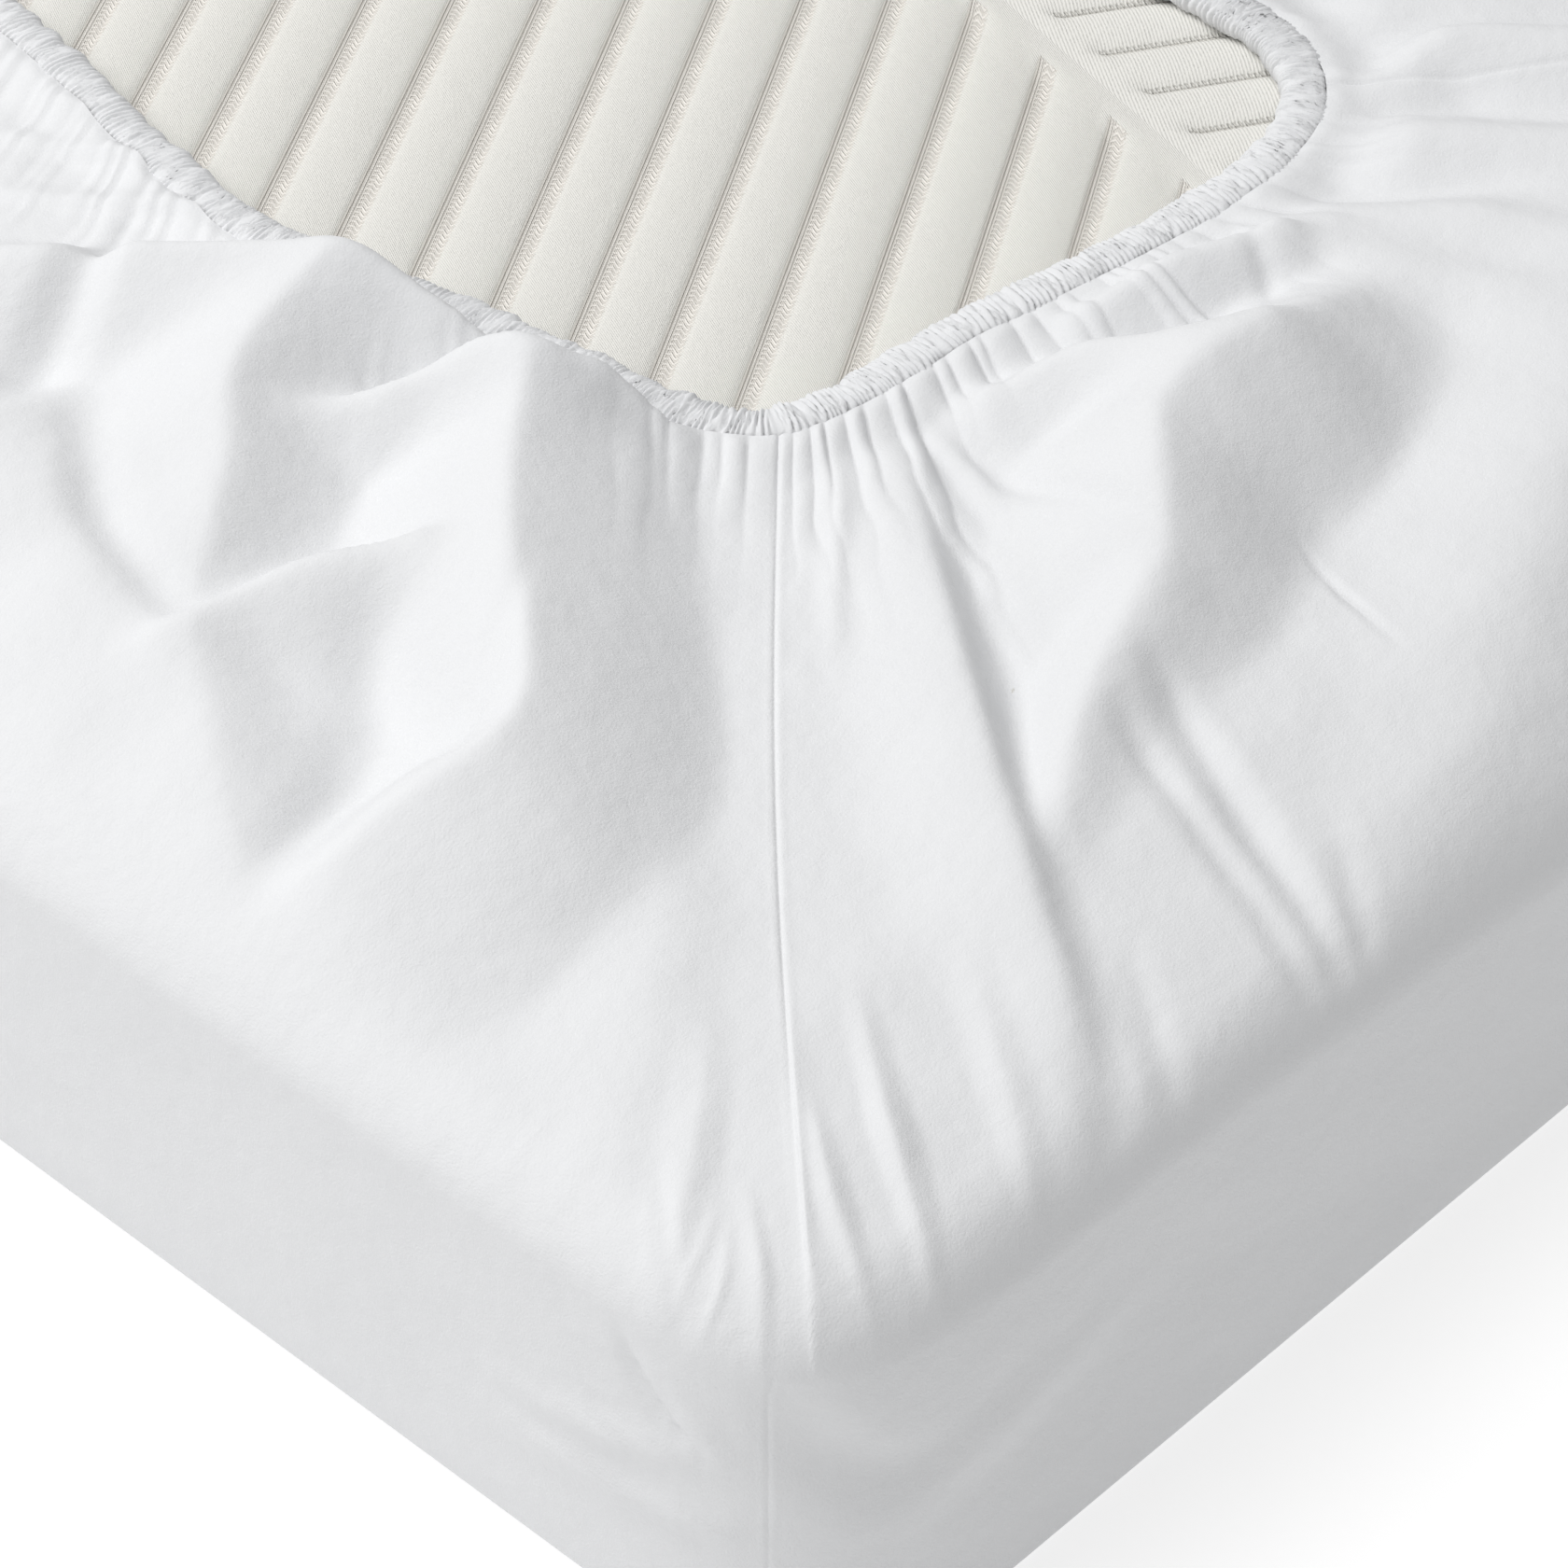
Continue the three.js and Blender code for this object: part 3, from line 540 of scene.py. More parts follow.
def ripple(x, y, size, seed):
    """A soft unevenness between about -1 and 1, size mm from rise to rise."""
    pick = random.Random(seed)
    result = np.zeros(np.shape(x))
    for _ in range(RIPPLE_WAVES):
        angle, phase = pick.uniform(0, math.tau), pick.uniform(0, math.tau)
        length = size * pick.uniform(0.7, 1.6)
        run = x * math.cos(angle) + y * math.sin(angle)
        result = result + np.sin(run * math.tau / length + phase)
    return result / 4


# ------------ meshes
def make_object(name, points, faces, material):
    mesh = bpy.data.meshes.new(name)
    mesh.from_pydata([tuple(p) for p in points], [], [tuple(int(i) for i in f) for f in faces])
    mesh.update()
    mesh.shade_smooth()
    mesh.materials.append(material)
    return add_object(name, mesh)


def ring_faces(ring_count, size):
    """Quads between closed rings of the same size."""
    r = np.arange(ring_count - 1)[:, None] * size
    c = np.arange(size)[None, :]
    n = np.mod(c + 1, size)
    quads = np.stack([r + c, r + n, r + size + n, r + size + c], -1)
    return quads.reshape(-1, 4)


# ------------ materials
def new_material(name, colour, roughness):
    material = bpy.data.materials.new(name)
    material.use_nodes = True
    shader = material.node_tree.nodes["Principled BSDF"]
    shader.inputs["Base Color"].default_value = (*colour, 1)
    shader.inputs["Roughness"].default_value = roughness
    return material, shader


class Nodes:
    """Short names for the nodes of one material."""

    def __init__(self, material):
        self.tree = material.node_tree

    def put(self, node, slot, value):
        if isinstance(value, bpy.types.NodeSocket):
            self.tree.links.new(value, node.inputs[slot])
        else:
            node.inputs[slot].default_value = value

    def math(self, operation, *values):
        node = self.tree.nodes.new("ShaderNodeMath")
        node.operation = operation
        for slot, value in enumerate(values):
            self.put(node, slot, value)
        return node.outputs[0]

    def plus(self, first, *others):
        for value in others:
            first = self.math("ADD", first, value)
        return first

    def minus(self, first, second):
        return self.math("SUBTRACT", first, second)

    def times(self, first, *others):
        for value in others:
            first = self.math("MULTIPLY", first, value)
        return first

    def away(self, value, place=0.0):
        """How far a value is from a place, either way."""
        return self.math("ABSOLUTE", self.minus(value, place))

    def wave(self, value, pitch):
        return self.math("SINE", self.times(value, math.tau / pitch))

    def off_line(self, value, first, pitch):
        """Signed distance to the nearest of evenly spaced lines."""
        shifted = self.plus(value, pitch / 2 - first)
        return self.minus(self.math("FLOORED_MODULO", shifted, pitch), pitch / 2)

    def step(self, value, low, high):
        """0 below low, 1 above high, soft between. The other way round where high is lower."""
        node = self.tree.nodes.new("ShaderNodeMapRange")
        node.interpolation_type = "SMOOTHSTEP"
        for slot, given in (("Value", value), ("From Min", low), ("From Max", high)):
            self.put(node, slot, given)
        return node.outputs["Result"]

    def noise(self, size, detail):
        """Noise in the object's own space, with its size in mm."""
        place = self.tree.nodes.new("ShaderNodeTexCoord")
        mapping = self.tree.nodes.new("ShaderNodeMapping")
        mapping.inputs["Scale"].default_value = [1000 / size] * 3
        texture = self.tree.nodes.new("ShaderNodeTexNoise")
        texture.inputs["Scale"].default_value = 1.0
        texture.inputs["Detail"].default_value = detail
        self.tree.links.new(place.outputs["Object"], mapping.inputs["Vector"])
        self.tree.links.new(mapping.outputs["Vector"], texture.inputs["Vector"])
        return texture.outputs["Fac"]

    def mix(self, share, first, second):
        node = self.tree.nodes.new("ShaderNodeMix")
        node.data_type = "RGBA"
        for slot, value in ((0, share), (6, first), (7, second)):
            self.put(node, slot, value)
        return node.outputs[2]

    def bump(self, height, shader):
        """Relief in mm."""
        node = self.tree.nodes.new("ShaderNodeBump")
        node.inputs["Distance"].default_value = MM
        self.put(node, "Height", height)
        self.tree.links.new(node.outputs["Normal"], shader.inputs["Normal"])


COTTON_DARK, COTTON_LIGHT = (0.705, 0.71, 0.722, 1), (0.735, 0.74, 0.748, 1)
WEAVE_RELIEF, GRAIN_RELIEF, CREASE_RELIEF = 0.16, 0.12, 0.7  # mm


def make_cotton():
    """Fine white percale: a close weave that is never quite even."""
    material, shader = new_material("cotton", (0.72, 0.725, 0.735), 0.85)
    nodes = Nodes(material)
    weave = nodes.times(nodes.noise(0.7, 3.0), WEAVE_RELIEF)
    creases = nodes.times(nodes.noise(16, 2.0), CREASE_RELIEF)
    grain = nodes.times(nodes.noise(4, 2.0), GRAIN_RELIEF)
    nodes.bump(nodes.plus(weave, creases, grain), shader)
    tint = nodes.mix(nodes.noise(1.2, 2.0), COTTON_DARK, COTTON_LIGHT)
    nodes.tree.links.new(tint, shader.inputs["Base Color"])
    return material


# The quilted face, in mm: bands of stitches on one side of the turning line, grooves on the other.
SLOPE = math.tan(math.radians(31))  # the channels climb to the right at 31 degrees
TURN_X, TURN_Y, TURN_LEAN = 84.8, -348.0, 0.277
BAND_FIRST, BAND_PITCH, BAND_WIDTH, BAND_DEPTH = -195.6, 29.35, 7.4, 0.8
GROOVE_FIRST, GROOVE_PITCH, GROOVE_DEPTH = -281.0, 26.4, 1.2
PILLOW_RISE = 2.6  # how far the padding swells between two bands
BAND_ENDS = 9.0  # a band stops this far short of the turning line
HERRINGBONE_PITCH = 2.3
HERRINGBONE_ARM = 1.9
SAW_PITCH, SAW_DEPTH = 1.7, 1.2  # a band's near edge
THREAD_PITCH = 1.1  # the thin lines along a band's far edge
KNIT_PITCH, KNIT_SLANT = 1.3, 1.4
STITCH_PITCH = 1.5

GROUND_DARK, GROUND_LIGHT = (0.73, 0.72, 0.68, 1), (0.78, 0.77, 0.73, 1)
THREAD_DARK, THREAD_LIGHT = (0.70, 0.67, 0.62, 1), (0.84, 0.81, 0.76, 1)
# Painted shade: each band's far edge is darkened towards this colour, standing in for the shadow
# where the padding drops into the band.
FOOT_SHADE, FOOT_SHADE_COLOUR = 0.45, (0.5, 0.47, 0.42, 1)
# Painted shade: the grooves, and the stitch fringe on their shaded side, are darkened towards this
# colour.
GROOVE_SHADE, FRINGE_SHADE, GROOVE_SHADE_COLOUR = 0.3, 0.25, (0.55, 0.52, 0.46, 1)


def band_pattern(nodes, x, channel, past_turn):
    """Where a band is, its stitches, and a painted shade along its far edge, where the padding drops
    into the band.
    """
    off = nodes.off_line(channel, BAND_FIRST, BAND_PITCH)
    along = nodes.times(x, 1 / math.cos(math.atan(SLOPE)))
    saw = nodes.times(nodes.math("FRACT", nodes.math("DIVIDE", along, SAW_PITCH)), SAW_DEPTH)
    near_edge = nodes.step(nodes.plus(off, saw, BAND_WIDTH / 2 - 0.9), 0, 0.3)
    far_edge = nodes.step(off, BAND_WIDTH / 2 + 0.25, BAND_WIDTH / 2 - 0.25)
    end = nodes.step(past_turn, -BAND_ENDS + 0.6, -BAND_ENDS)
    band = nodes.times(near_edge, far_edge, end)

    arm = nodes.math("PINGPONG", nodes.plus(off, 20 * HERRINGBONE_ARM), HERRINGBONE_ARM)
    herringbone = nodes.wave(nodes.plus(along, arm), HERRINGBONE_PITCH)
    in_lines = nodes.step(off, 1.2, 1.6)
    lines = nodes.times(nodes.wave(off, THREAD_PITCH), in_lines)
    herringbone = nodes.times(herringbone, nodes.minus(1.0, in_lines))
    stitches = nodes.step(nodes.plus(herringbone, lines), -0.7, 0.7)

    # Painted shade along the band's far edge, which fades out before the turning line.
    painted_foot_shade = nodes.step(nodes.away(off, BAND_WIDTH / 2), 0.9, 0.2)
    painted_foot_shade = nodes.times(painted_foot_shade, nodes.step(past_turn, -BAND_ENDS + 1, -BAND_ENDS - 1))
    return band, stitches, painted_foot_shade


def groove_pattern(nodes, x, channel, past_turn):
    """A stitched groove, which turns with the quilting, and the fringe of stitches beside it: masks
    that sink the relief and carry painted shade.
    """
    turn = nodes.plus(nodes.times(channel, TURN_LEAN), TURN_X - TURN_LEAN * TURN_Y)
    turn = nodes.times(turn, 1 / (1 - TURN_LEAN * SLOPE))
    groove_line = nodes.plus(channel, nodes.times(turn, 2 * SLOPE))
    off = nodes.off_line(groove_line, GROOVE_FIRST, GROOVE_PITCH)
    right = nodes.step(past_turn, BAND_ENDS - 1, BAND_ENDS)
    groove = nodes.times(nodes.step(nodes.away(off), 0.9, 0.1), right)
    # The fringe is a strip of painted shade on one side of the groove, broken into stitch ticks; it
    # also sinks the relief.
    fringe = nodes.times(nodes.step(off, 2.2, 1.2), nodes.step(off, -0.2, 0.3))
    fringe = nodes.times(fringe, right, nodes.step(nodes.wave(x, STITCH_PITCH), -0.3, 0.8))
    return groove, fringe


def make_ticking():
    """Ivory knitted ticking with sunk bands of herringbone stitches and stitched grooves; shade is
    painted along the bands' far edges and in the grooves.
    """
    material, shader = new_material("ticking", (0.73, 0.72, 0.69), 0.9)
    nodes = Nodes(material)
    lane = nodes.tree.nodes.new("ShaderNodeAttribute")
    lane.attribute_name = "lane"
    parts = nodes.tree.nodes.new("ShaderNodeSeparateXYZ")
    nodes.tree.links.new(lane.outputs["Vector"], parts.inputs[0])
    x, channel, past_turn = parts.outputs
    band, stitches, painted_foot_shade = band_pattern(nodes, x, channel, past_turn)
    groove, fringe = groove_pattern(nodes, x, channel, past_turn)

    knit_line = nodes.minus(nodes.times(x, KNIT_SLANT), channel)
    knit = nodes.times(nodes.wave(knit_line, KNIT_PITCH), 0.07)
    fluff = nodes.times(nodes.noise(0.9, 3.0), 0.3)
    lumps = nodes.times(nodes.noise(9, 2.0), 0.5)
    raised = nodes.times(stitches, band, 0.35)
    sunk = nodes.times(nodes.plus(groove, fringe), -0.4)
    nodes.bump(nodes.plus(knit, fluff, lumps, raised, sunk), shader)

    ground = nodes.mix(nodes.noise(1.5, 3.0), GROUND_DARK, GROUND_LIGHT)
    threads = nodes.mix(stitches, THREAD_DARK, THREAD_LIGHT)
    colour = nodes.mix(band, ground, threads)
    # Painted shade: the bands' far edges are darkened.
    colour = nodes.mix(nodes.times(painted_foot_shade, FOOT_SHADE), colour, FOOT_SHADE_COLOUR)
    # Painted shade in the grooves and in the stitch fringe beside them.
    colour = nodes.mix(nodes.times(groove, GROOVE_SHADE), colour, GROOVE_SHADE_COLOUR)
    colour = nodes.mix(nodes.times(fringe, FRINGE_SHADE), colour, GROOVE_SHADE_COLOUR)
    nodes.tree.links.new(colour, shader.inputs["Base Color"])
    return material


cotton = make_cotton()
ticking = make_ticking()


# ------------ the sheet
CORNER_COLUMNS = [64, 14, 10, 14]  # on each side of a corner seam
SIDE_STATIONS = [
    graded((-1, 0.4, 200), (0.4, 1, 40)),
    graded((-1, -0.75, 30), (-0.75, 1, 80)),
    graded((-1, 1, 50)),
    graded((-1, 0.1, 45), (0.1, 1, 210)),
]
columns = Columns(CORNER_COLUMNS, SIDE_STATIONS)
field = FoldField(columns)
pleats = make_pleats(seed=11)
outer = columns.outline(HALF_WIDTH, HALF_LENGTH)

SEAM_GROOVE, SEAM_GROOVE_WIDTH = 0.4, 0.55
SEAM_SHOULDER, SHOULDER_PLACE, SHOULDER_WIDTH = 0.1, 1.6, 1.0  # a swelling on both sides
SEAM_PUCKER, PUCKER_SHARE = 3.6, 0.45  # mm from stitch to stitch
SEAM_RIDGE = 1.7  # the near seam's allowance stands up towards the corner
RIDGE_FROM, RIDGE_FULL, RIDGE_END, RIDGE_FADE = 195.0, 270.0, 318.0, 6.0  # mm from the hem
RIDGE_CREST, RIDGE_STEEP, RIDGE_GENTLE = 0.8, 0.7, 5.0  # mm right of the seam, then its flanks
RIDGE_GROOVE = 0.3  # the groove's share that is left along the ridge
SIDE_STITCHES = 100.0  # mm by which the sides' stitches are shifted from those on top


def seam_dent(plan, run, ridge_rise):
    """How far the cloth is drawn in by the four corner seams, and raised by the near one."""
    dent = np.zeros(len(plan))
    for first in columns.firsts:
        start = columns.hem[first]
        along = (outer[first] - start) / np.linalg.norm(outer[first] - start)
        offset = plan - start
        walk = offset @ along
        right = offset[:, 0] * -along[1] + offset[:, 1] * along[0]
        off = np.abs(right)
        stitches = 1 + PUCKER_SHARE * np.sin((walk - run) * math.tau / SEAM_PUCKER)
        groove = SEAM_GROOVE * np.exp(-(off / SEAM_GROOVE_WIDTH) ** 2)
        shoulder = SEAM_SHOULDER * stitches * np.exp(-((off - SHOULDER_PLACE) / SHOULDER_WIDTH) ** 2)
        if first == 0:
            top = smooth((walk - RIDGE_FROM) / (RIDGE_FULL - RIDGE_FROM))
            top *= 1 - smooth((walk - RIDGE_END) / RIDGE_FADE)
            flank = np.where(right > RIDGE_CREST, RIDGE_GENTLE, RIDGE_STEEP)
            shoulder += ridge_rise * top * np.exp(-np.abs(right - RIDGE_CREST) / flank)
            groove *= 1 - (1 - RIDGE_GROOVE) * top
        dent += np.where(walk > -5, groove - shoulder, 0)
    return dent


SEAM_BEND = 4.0  # mm that the near seam bows to the left between hem and corner
BEND_REACH = 45.0
BEND_WAY = np.array([-0.69, 0.73])


def seam_bend(share):
    """How far each column is moved along the hem by the bow of the near seam."""
    from_seam = np.minimum(columns.walk, HEM_LENGTH - columns.walk)
    bow = SEAM_BEND * math.sin(math.pi * share) * np.exp(-(from_seam / BEND_REACH) ** 2)
    return bow[:, None] * BEND_WAY


SEAM_TWIST = 9.5  # mm that the near seam has slipped to the left, low on the side
TWIST_REACH = 70.0
TWIST_TOP, TWIST_RUN = 118.0, 24.0  # the height where that starts, and how far down it grows
SIDE_TOP = FLAT_TOP - CORNER_DROP
UNTWIST = 320.0  # how soon the slip is gone on the way from the side to the hem


def twisted(outline, z):
    """An outline whose columns near the front left seam are slid along it, the more the lower."""
    slip = SEAM_TWIST * smooth((TWIST_TOP - z) / TWIST_RUN)
    closed = np.vstack([outline, outline[:1]])
    walk = np.concatenate([[0], np.cumsum(steps_round(outline))])
    size = walk[-1]
    from_seam = np.minimum(walk[:-1], size - walk[:-1])
    moved = np.mod(walk[:-1] - slip * np.exp(-(from_seam / TWIST_REACH) ** 2), size)
    x = np.interp(moved, walk, closed[:, 0])
    y = np.interp(moved, walk, closed[:, 1])
    return np.column_stack([x, y])


def base_rings():
    """The rounded lower edge."""
    rings = []
    for angle in np.linspace(0, math.pi / 2, 5):
        pull = BASE_RADIUS * (1 - math.sin(angle))
        z = BASE_RADIUS * (1 - math.cos(angle))
        outline = twisted(columns.outline(HALF_WIDTH - pull, HALF_LENGTH - pull), z)
        rings.append(np.column_stack([outline, np.full(columns.count, z)]))
    return rings


SIDE_UNEVENNESS = 0.5


def side_rings():
    """The sides, with the folds that run to the near seam."""
    steps = steps_round(outer)
    right_of_seam = np.cumsum(steps) - steps
    half_round = steps.sum() / 2
    right_of_seam = np.mod(right_of_seam + half_round, 2 * half_round) - half_round
    outward = columns.soft / np.linalg.norm(columns.soft, axis=1)[:, None]
    side_height = FLAT_TOP - corner_drop(*outer.T) - BASE_RADIUS
    rings = []
    for share in np.append(graded((0.12, 0.36, 3), (0.36, 1, 14)), 1.0):
        height = BASE_RADIUS + side_height * share
        dent = seam_dent(outer, height + SIDE_STITCHES, 0)
        uneven = ripple(right_of_seam, height * 1.5, size=75, seed=15)
        dent = dent - SIDE_UNEVENNESS * uneven * smooth((1 - share) * 5)
        for crisp, crest in SIDE_FOLDS.values():
            dent = dent - fold_height(crest, right_of_seam, height, crisp)
        dent = dent * smooth(share * 5)
        rings.append(np.column_stack([twisted(outer, height) - outward * dent[:, None], height]))
    return rings


BILLOW_FADE, CREASE_FADE = 32.0, 10.0  # mm over which folds die out towards the side
HEM_FADE = 9.0  # and towards the hem
PLEATED_BELOW, PLEATLESS_ABOVE = 2.0, 20.0  # pleats fade out between these rises of a billow
HEM_LIFT, HEM_LIFT_REACH = 4.0, 20.0  # the cloth comes up to the casing
TOP_UNEVENNESS, UNEVENNESS_FADE = 0.45, 20.0
TIGHT_TURN = 0.055  # the share of the way to the hem in which the rings crowd together
FIRST_SHARES = TIGHT_TURN * (np.arange(1, 15) / 14) ** 2


def top_rings():
    """The turned-in border, from the side in to the hem."""
    rings = []
    inner = graded((TIGHT_TURN, 0.8, 54), (0.8, 1, 24))[1:]
    for share in np.concatenate([FIRST_SHARES, inner, [1.0]]):
        start = twisted(outer, SIDE_TOP + UNTWIST * share)
        plan = start + (columns.hem - start) * share
        x, y = plan.T
        fall = crown_fall(x, y, HALF_WIDTH, HALF_LENGTH)
        to_side = np.minimum(HALF_WIDTH - np.abs(x), HALF_LENGTH - np.abs(y))
        to_hem = np.hypot(*(plan - columns.hem).T)
        billows = field.at(field.billows, x, y)
        rise = billows * smooth(to_side / BILLOW_FADE) * smooth(to_hem / HEM_FADE)
        creases = field.at(field.creases, x, y)
        rise += creases * smooth(to_side / CREASE_FADE) * smooth(to_hem / HEM_FADE)
        for crisp, crest in FINE_CREASES.values():
            rise += fold_height(crest, x, y, crisp)
        pleated = 1 - smooth((billows - PLEATED_BELOW) / (PLEATLESS_ABOVE - PLEATED_BELOW))
        rise += pleat_rise(pleats, columns.walk, to_hem) * smooth(to_hem / 5 + 0.2) * pleated
        rise += TOP_UNEVENNESS * ripple(x, y, size=34, seed=3) * smooth(to_side / UNEVENNESS_FADE)
        rise += HEM_LIFT * (1 - smooth(to_hem / HEM_LIFT_REACH))
        rise -= seam_dent(plan, fall, SEAM_RIDGE)
        rings.append(np.column_stack([plan + seam_bend(share), FLAT_TOP - fall + rise]))
    return rings


def make_sheet():
    rings = base_rings() + side_rings() + top_rings()
    faces = [tuple(f) for f in ring_faces(len(rings), columns.count)]
    faces.append(tuple(reversed(range(columns.count))))
    return make_object("sheet_cloth", np.vstack(rings) * MM, faces, cotton)


# ------------ the gathered casing
RUFFLE_PITCH = 2.1
RUFFLE_HEIGHT, RUFFLE_SPREAD = 1.8, 1.1  # how high, and how much that differs
RUFFLE_SHARPNESS = 0.7  # below 1 the ruffles are round on top with sharp valleys
RUFFLE_MIDDLE = 0.6  # the share of a ruffle's height that lies below its middle
LOOSE_TURN, LOOSE_REACH = 60.0, 70.0  # mm past the front right seam: looser ruffles
CASING_SECTION = 20  # points round the casing
CASING_POWER = 0.8  # below 1 the casing's section is flatter on top
CASING_LIFT = 1.2
CASING_OVERLAP = 1.0  # mm that the casing reaches back over the cloth
NEAR_STEP, FAR_STEP = 0.34, 0.8
FAR_WALK = hem_seams[1] + 110, hem_seams[3] + 420  # the far part, in longer steps


def casing_walk():
    """Places along the hem, closer together in the part by the near corner."""
    stops = (0, *FAR_WALK, HEM_LENGTH)
    steps = (NEAR_STEP, FAR_STEP, NEAR_STEP)
    return np.concatenate([np.arange(a, b, step) for a, b, step in zip(stops, stops[1:], steps)])


def ruffle(walk, across):
    """Height of the ruffles; across runs from -1 at the opening to 1 at the stitching."""
    turns = round(HEM_LENGTH / RUFFLE_PITCH)
    level = 0 * walk
    phase = walk * turns / HEM_LENGTH
    phase = phase + 1.6 * ripple(walk, level, size=60, seed=5)
    phase = phase + 0.7 * ripple(walk, level, size=14, seed=6)
    phase = phase + across * (0.7 + 0.9 * ripple(walk, level, size=110, seed=8))
    phase = phase + 0.55 * ripple(walk, across * 8, size=11, seed=7)
    loose = np.exp(-((walk - hem_seams[1] - LOOSE_TURN) / LOOSE_REACH) ** 2)
    height = RUFFLE_HEIGHT + RUFFLE_SPREAD * ripple(walk, across * 7, size=7, seed=9)
    shape = np.abs(np.sin(math.pi * phase)) ** RUFFLE_SHARPNESS - RUFFLE_MIDDLE
    return height * (1 + 0.5 * loose) * shape


def power_curve(value):
    return math.copysign(abs(value) ** CASING_POWER, value)


def make_hem():
    walk = casing_walk()
    place, inward = hem_point(walk)
    # The ruffles and puffs die out where the casing closes on itself, at the near seam.
    closing = smooth((HEM_LENGTH / 2 - np.abs(walk - HEM_LENGTH / 2)) / 4)
    rings = []
    for turn in np.linspace(0, math.tau, CASING_SECTION, endpoint=False):
        across, up = power_curve(math.cos(turn)), power_curve(math.sin(turn))
        puff = 0.10 * ripple(walk, 0 * walk, size=26, seed=10)
        puff = (puff + 0.08 * ripple(walk, 0 * walk + across, size=9, seed=12)) * closing
        wave = ruffle(walk, np.full(len(walk), -across)) * closing * (0.6 + 0.4 * max(up, 0))
        into = HEM_WIDTH / 2 - CASING_OVERLAP
        into = into + across * (HEM_WIDTH / 2 * (1 + puff) + 0.6 * wave)
        z = FLAT_TOP + CASING_LIFT + up * (HEM_HEIGHT / 2 * (1 + puff) + wave)
        rings.append(np.column_stack([place + inward * into[:, None], z]))
    quads = ring_faces(CASING_SECTION + 1, len(walk)) % (CASING_SECTION * len(walk))
    return make_object("sheet_hem", np.vstack(rings) * MM, quads[:, ::-1], cotton)


# ------------ the mattress
MATTRESS_LOW, MATTRESS_HIGH = ([v / MM for v in corner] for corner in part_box("mattress"))
FACE = MATTRESS_HIGH[2]
MATTRESS_HALF = np.array([MATTRESS_HIGH[0], MATTRESS_HIGH[1]])
WINDOW = 150.0  # half the width of the quilted face, a little more than shows
TURN_LIMIT = 142.0  # the turning line stays inside the window
QUILT_STRAIGHT, QUILT_REACH = 460.0, 110.0  # past this y the channels are drawn together
UNDER_SHEET = 4.0  # mm that the face lies lower where the sheet covers it
CHANNELS = np.append(graded((-535, -470, 36), (-470, -370, 120), (-370, -30, 230),
                            (-30, 515, 130)), 515)
LEFT_STEPS = np.linspace(0, 1, 56)
RIGHT_STEPS = np.linspace(0, 1, 30)[1:]
RIM_SHARES = (0.1, 0.25, 0.42, 0.58, 0.72, 0.83, 0.91, 0.96, 0.985, 0.996, 1.0)
WALL_HEIGHTS = (72.0, 54.0, 36.0, 18.0)
NO_BAND = 1000.0  # a channel far from any band, for the face outside the window


def turning_x(channel):
    """Where a channel meets the line at which the quilting turns."""
    return (TURN_X + TURN_LEAN * (channel - TURN_Y)) / (1 - TURN_LEAN * SLOPE)


def off_line(value, first, pitch):
    """Signed distance to the nearest of evenly spaced lines."""
    return np.mod(value - first + pitch / 2, pitch) - pitch / 2


def quilting(x, channel, turn):
    """How far the ticking is drawn in by its bands and stitched grooves."""
    off = off_line(channel, BAND_FIRST, BAND_PITCH)
    band = 1 - smooth((np.abs(off) - BAND_WIDTH / 2 + 0.6) / 1.8)
    left = BAND_DEPTH * band + PILLOW_RISE * (2 * np.abs(off) / BAND_PITCH - 1) ** 2
    left = left * smooth((turn - BAND_ENDS - x) / 5)
    off = off_line(channel + 2 * SLOPE * turn, GROOVE_FIRST, GROOVE_PITCH)
    right = GROOVE_DEPTH * np.exp(-np.abs(off) / 1.6)
    right = right + 0.7 * PILLOW_RISE * (2 * np.abs(off) / GROOVE_PITCH - 1) ** 2
    return left + right * smooth((x - turn - BAND_ENDS + 3) / 4)


def quilted_face():
    """A grid that follows the channels: x, y, z, then the channel and how far past the turn."""
    grid = []
    for channel in CHANNELS:
        turn = min(turning_x(channel), TURN_LIMIT)
        left = -WINDOW + (turn + WINDOW) * LEFT_STEPS
        right = turn + (WINDOW - turn) * RIGHT_STEPS
        x = np.concatenate([left, right])
        y = channel + SLOPE * np.minimum(x, turn) - SLOPE * np.maximum(0, x - turn)
        beyond = np.maximum(0, np.abs(y) - QUILT_STRAIGHT)
        drawn = QUILT_REACH * (1 - np.exp(-beyond / QUILT_REACH))
        y = np.sign(y) * (np.minimum(np.abs(y), QUILT_STRAIGHT) + drawn)
        z = FACE - quilting(x, channel, turn)
        grid.append(np.column_stack([x, y, z, np.full(len(x), channel), x - turn]))
    return np.array(grid)


def mattress_outline(square, pull):
    """The mattress's outline, pulled in, with one point for each point of a square's outline."""
    half = MATTRESS_HALF - pull
    at = square * half
    over = np.maximum(0, np.abs(at) - (half - CORNER_RUN))
    norm = ((over / CORNER_RUN) ** CORNER_POWER).sum(axis=1) ** (1 / CORNER_POWER)
    over = over / np.maximum(norm, 1e-6)[:, None]
    return np.sign(at) * (np.minimum(np.abs(at), half - CORNER_RUN) + over)


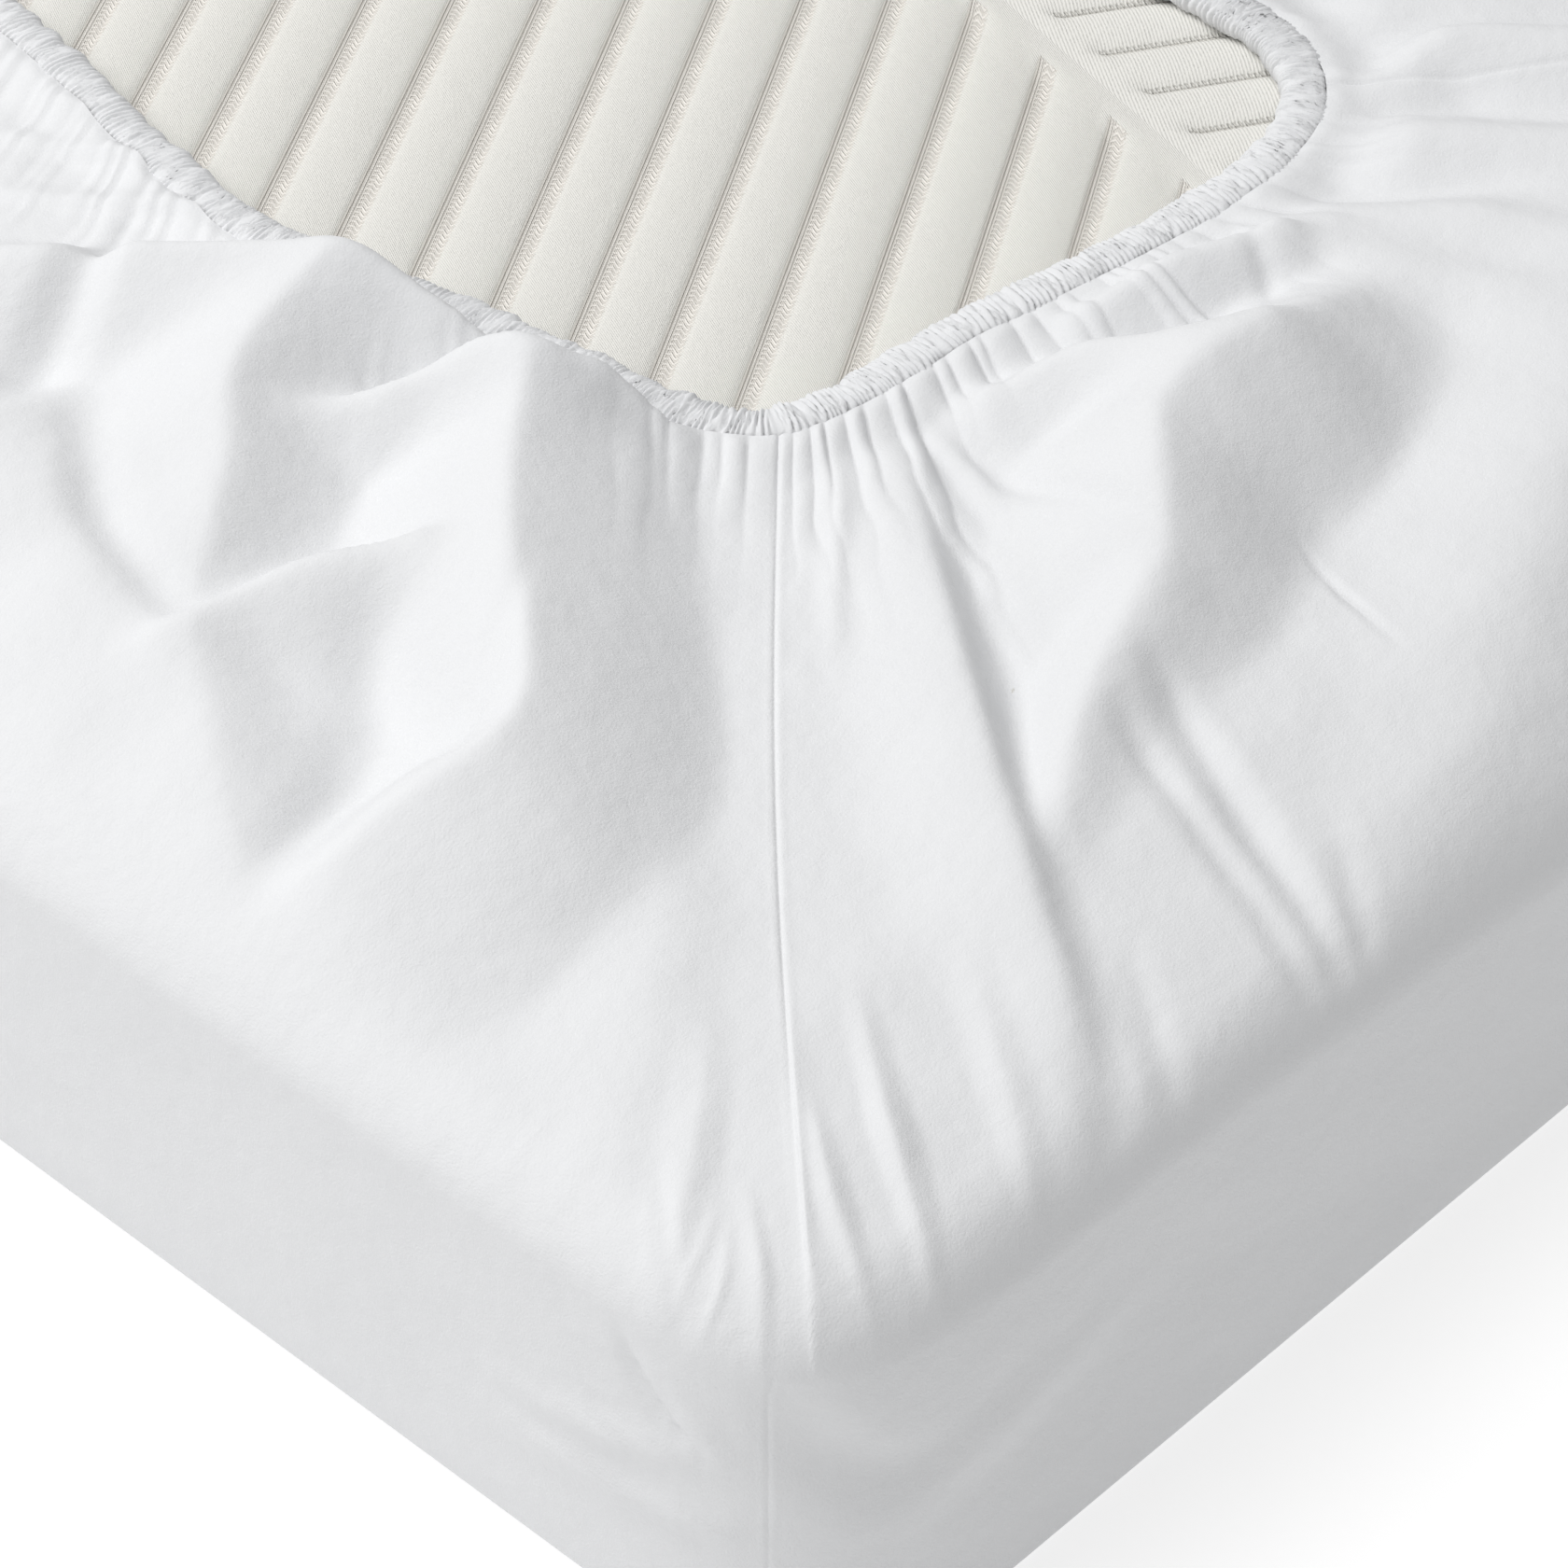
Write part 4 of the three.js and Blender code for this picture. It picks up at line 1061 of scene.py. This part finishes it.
def mattress_rings(rim_plan, rim_sunk, square):
    """From the quilted face's rim out to the side and down to the underside."""
    edge = mattress_outline(square, 0)
    rings = []
    for share in RIM_SHARES:
        plan = rim_plan + (edge - rim_plan) * share
        fall = crown_fall(*plan.T, *MATTRESS_HALF)
        under = smooth(share / 0.3)
        sunk = rim_sunk * (1 - under) + UNDER_SHEET * under
        rings.append(np.column_stack([plan, FACE - fall - sunk]))
    for z in WALL_HEIGHTS:
        rings.append(np.column_stack([edge, np.full(len(square), z)]))
    for angle in np.linspace(math.pi / 2, 0, 5):
        outline = mattress_outline(square, MATTRESS_RADIUS * (1 - math.sin(angle)))
        z = MATTRESS_LOW[2] + MATTRESS_RADIUS * (1 - math.cos(angle))
        rings.append(np.column_stack([outline, np.full(len(square), z)]))
    return rings


def make_mattress():
    grid = quilted_face()
    index = np.arange(grid.shape[0] * grid.shape[1]).reshape(grid.shape[:2])
    quads = np.stack([index[:-1, :-1], index[:-1, 1:], index[1:, 1:], index[1:, :-1]], -1)
    rim = np.concatenate([index[0, :-1], index[:-1, -1], index[-1, :0:-1], index[:0:-1, 0]])
    window = grid.reshape(-1, 5)
    rim_plan = window[rim, :2]
    square = rim_plan / np.array([WINDOW, np.abs(window[:, 1]).max()])
    square /= np.abs(square).max(axis=1)[:, None]
    rings = mattress_rings(rim_plan, FACE - window[rim, 2], square)
    first = len(window) + np.arange(len(rim))
    bridge = np.stack([rim, first, np.roll(first, -1), np.roll(rim, -1)], -1)
    ring_quads = ring_faces(len(rings), len(rim)) + len(window)
    bottom = tuple(len(window) + (len(rings) - 1) * len(rim) + np.arange(len(rim))[::-1])
    points = np.vstack([window[:, :3], *rings]) * MM
    faces = [*quads.reshape(-1, 4), *bridge, *ring_quads[:, ::-1], bottom]
    piece = make_object("mattress_ticking", points, faces, ticking)

    lane = np.zeros((len(points), 3))
    lane[:, 1] = NO_BAND
    lane[:len(window)] = window[:, [0, 3, 4]]
    attribute = piece.data.attributes.new("lane", "FLOAT_VECTOR", "POINT")
    attribute.data.foreach_set("vector", lane.ravel())
    return piece


sheet = make_sheet()
hem = make_hem()
mattress = make_mattress()

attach(mattress, "root")
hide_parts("mattress")
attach(hem, "root")
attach(sheet, "root")
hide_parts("sheet")

# ------------ floor and lights
FLOOR_REACH = 6.0  # m
FLOOR_Z = -0.0005
FLOOR_GLOW = 0.64
WORLD_LIGHT = 0.40
KEY_DISTANCE, KEY_SIZE, KEY_POWER = 3.0, 3.0, 97
KEY_WAY = Vector((-0.37, 0.45, 1)).normalized()  # from behind, on the left, and high
KEY_TARGET = Vector((-0.2, -0.4, 0.1))


def make_floor():
    material, shader = new_material("floor", (0.44, 0.44, 0.44), 0.9)
    shader.inputs["Emission Color"].default_value = (1, 1, 1, 1)
    shader.inputs["Emission Strength"].default_value = FLOOR_GLOW
    square = ((-1, -1), (1, -1), (1, 1), (-1, 1))
    corners = [(x * FLOOR_REACH, y * FLOOR_REACH, FLOOR_Z) for x, y in square]
    return make_object("floor", corners, [(0, 1, 2, 3)], material)


def make_world():
    world = bpy.data.worlds.new("studio")
    world.use_nodes = True
    background = world.node_tree.nodes["Background"]
    background.inputs["Color"].default_value = (1, 1, 1, 1)
    background.inputs["Strength"].default_value = WORLD_LIGHT
    bpy.context.scene.world = world


def make_key_light():
    data = bpy.data.lights.new("key", "AREA")
    data.shape = "SQUARE"
    data.size = KEY_SIZE
    data.energy = KEY_POWER
    light = add_object("key", data)
    light.location = KEY_TARGET + KEY_WAY * KEY_DISTANCE
    light.rotation_euler = (-KEY_WAY).to_track_quat("-Z", "Y").to_euler()


make_floor()
make_world()
make_key_light()
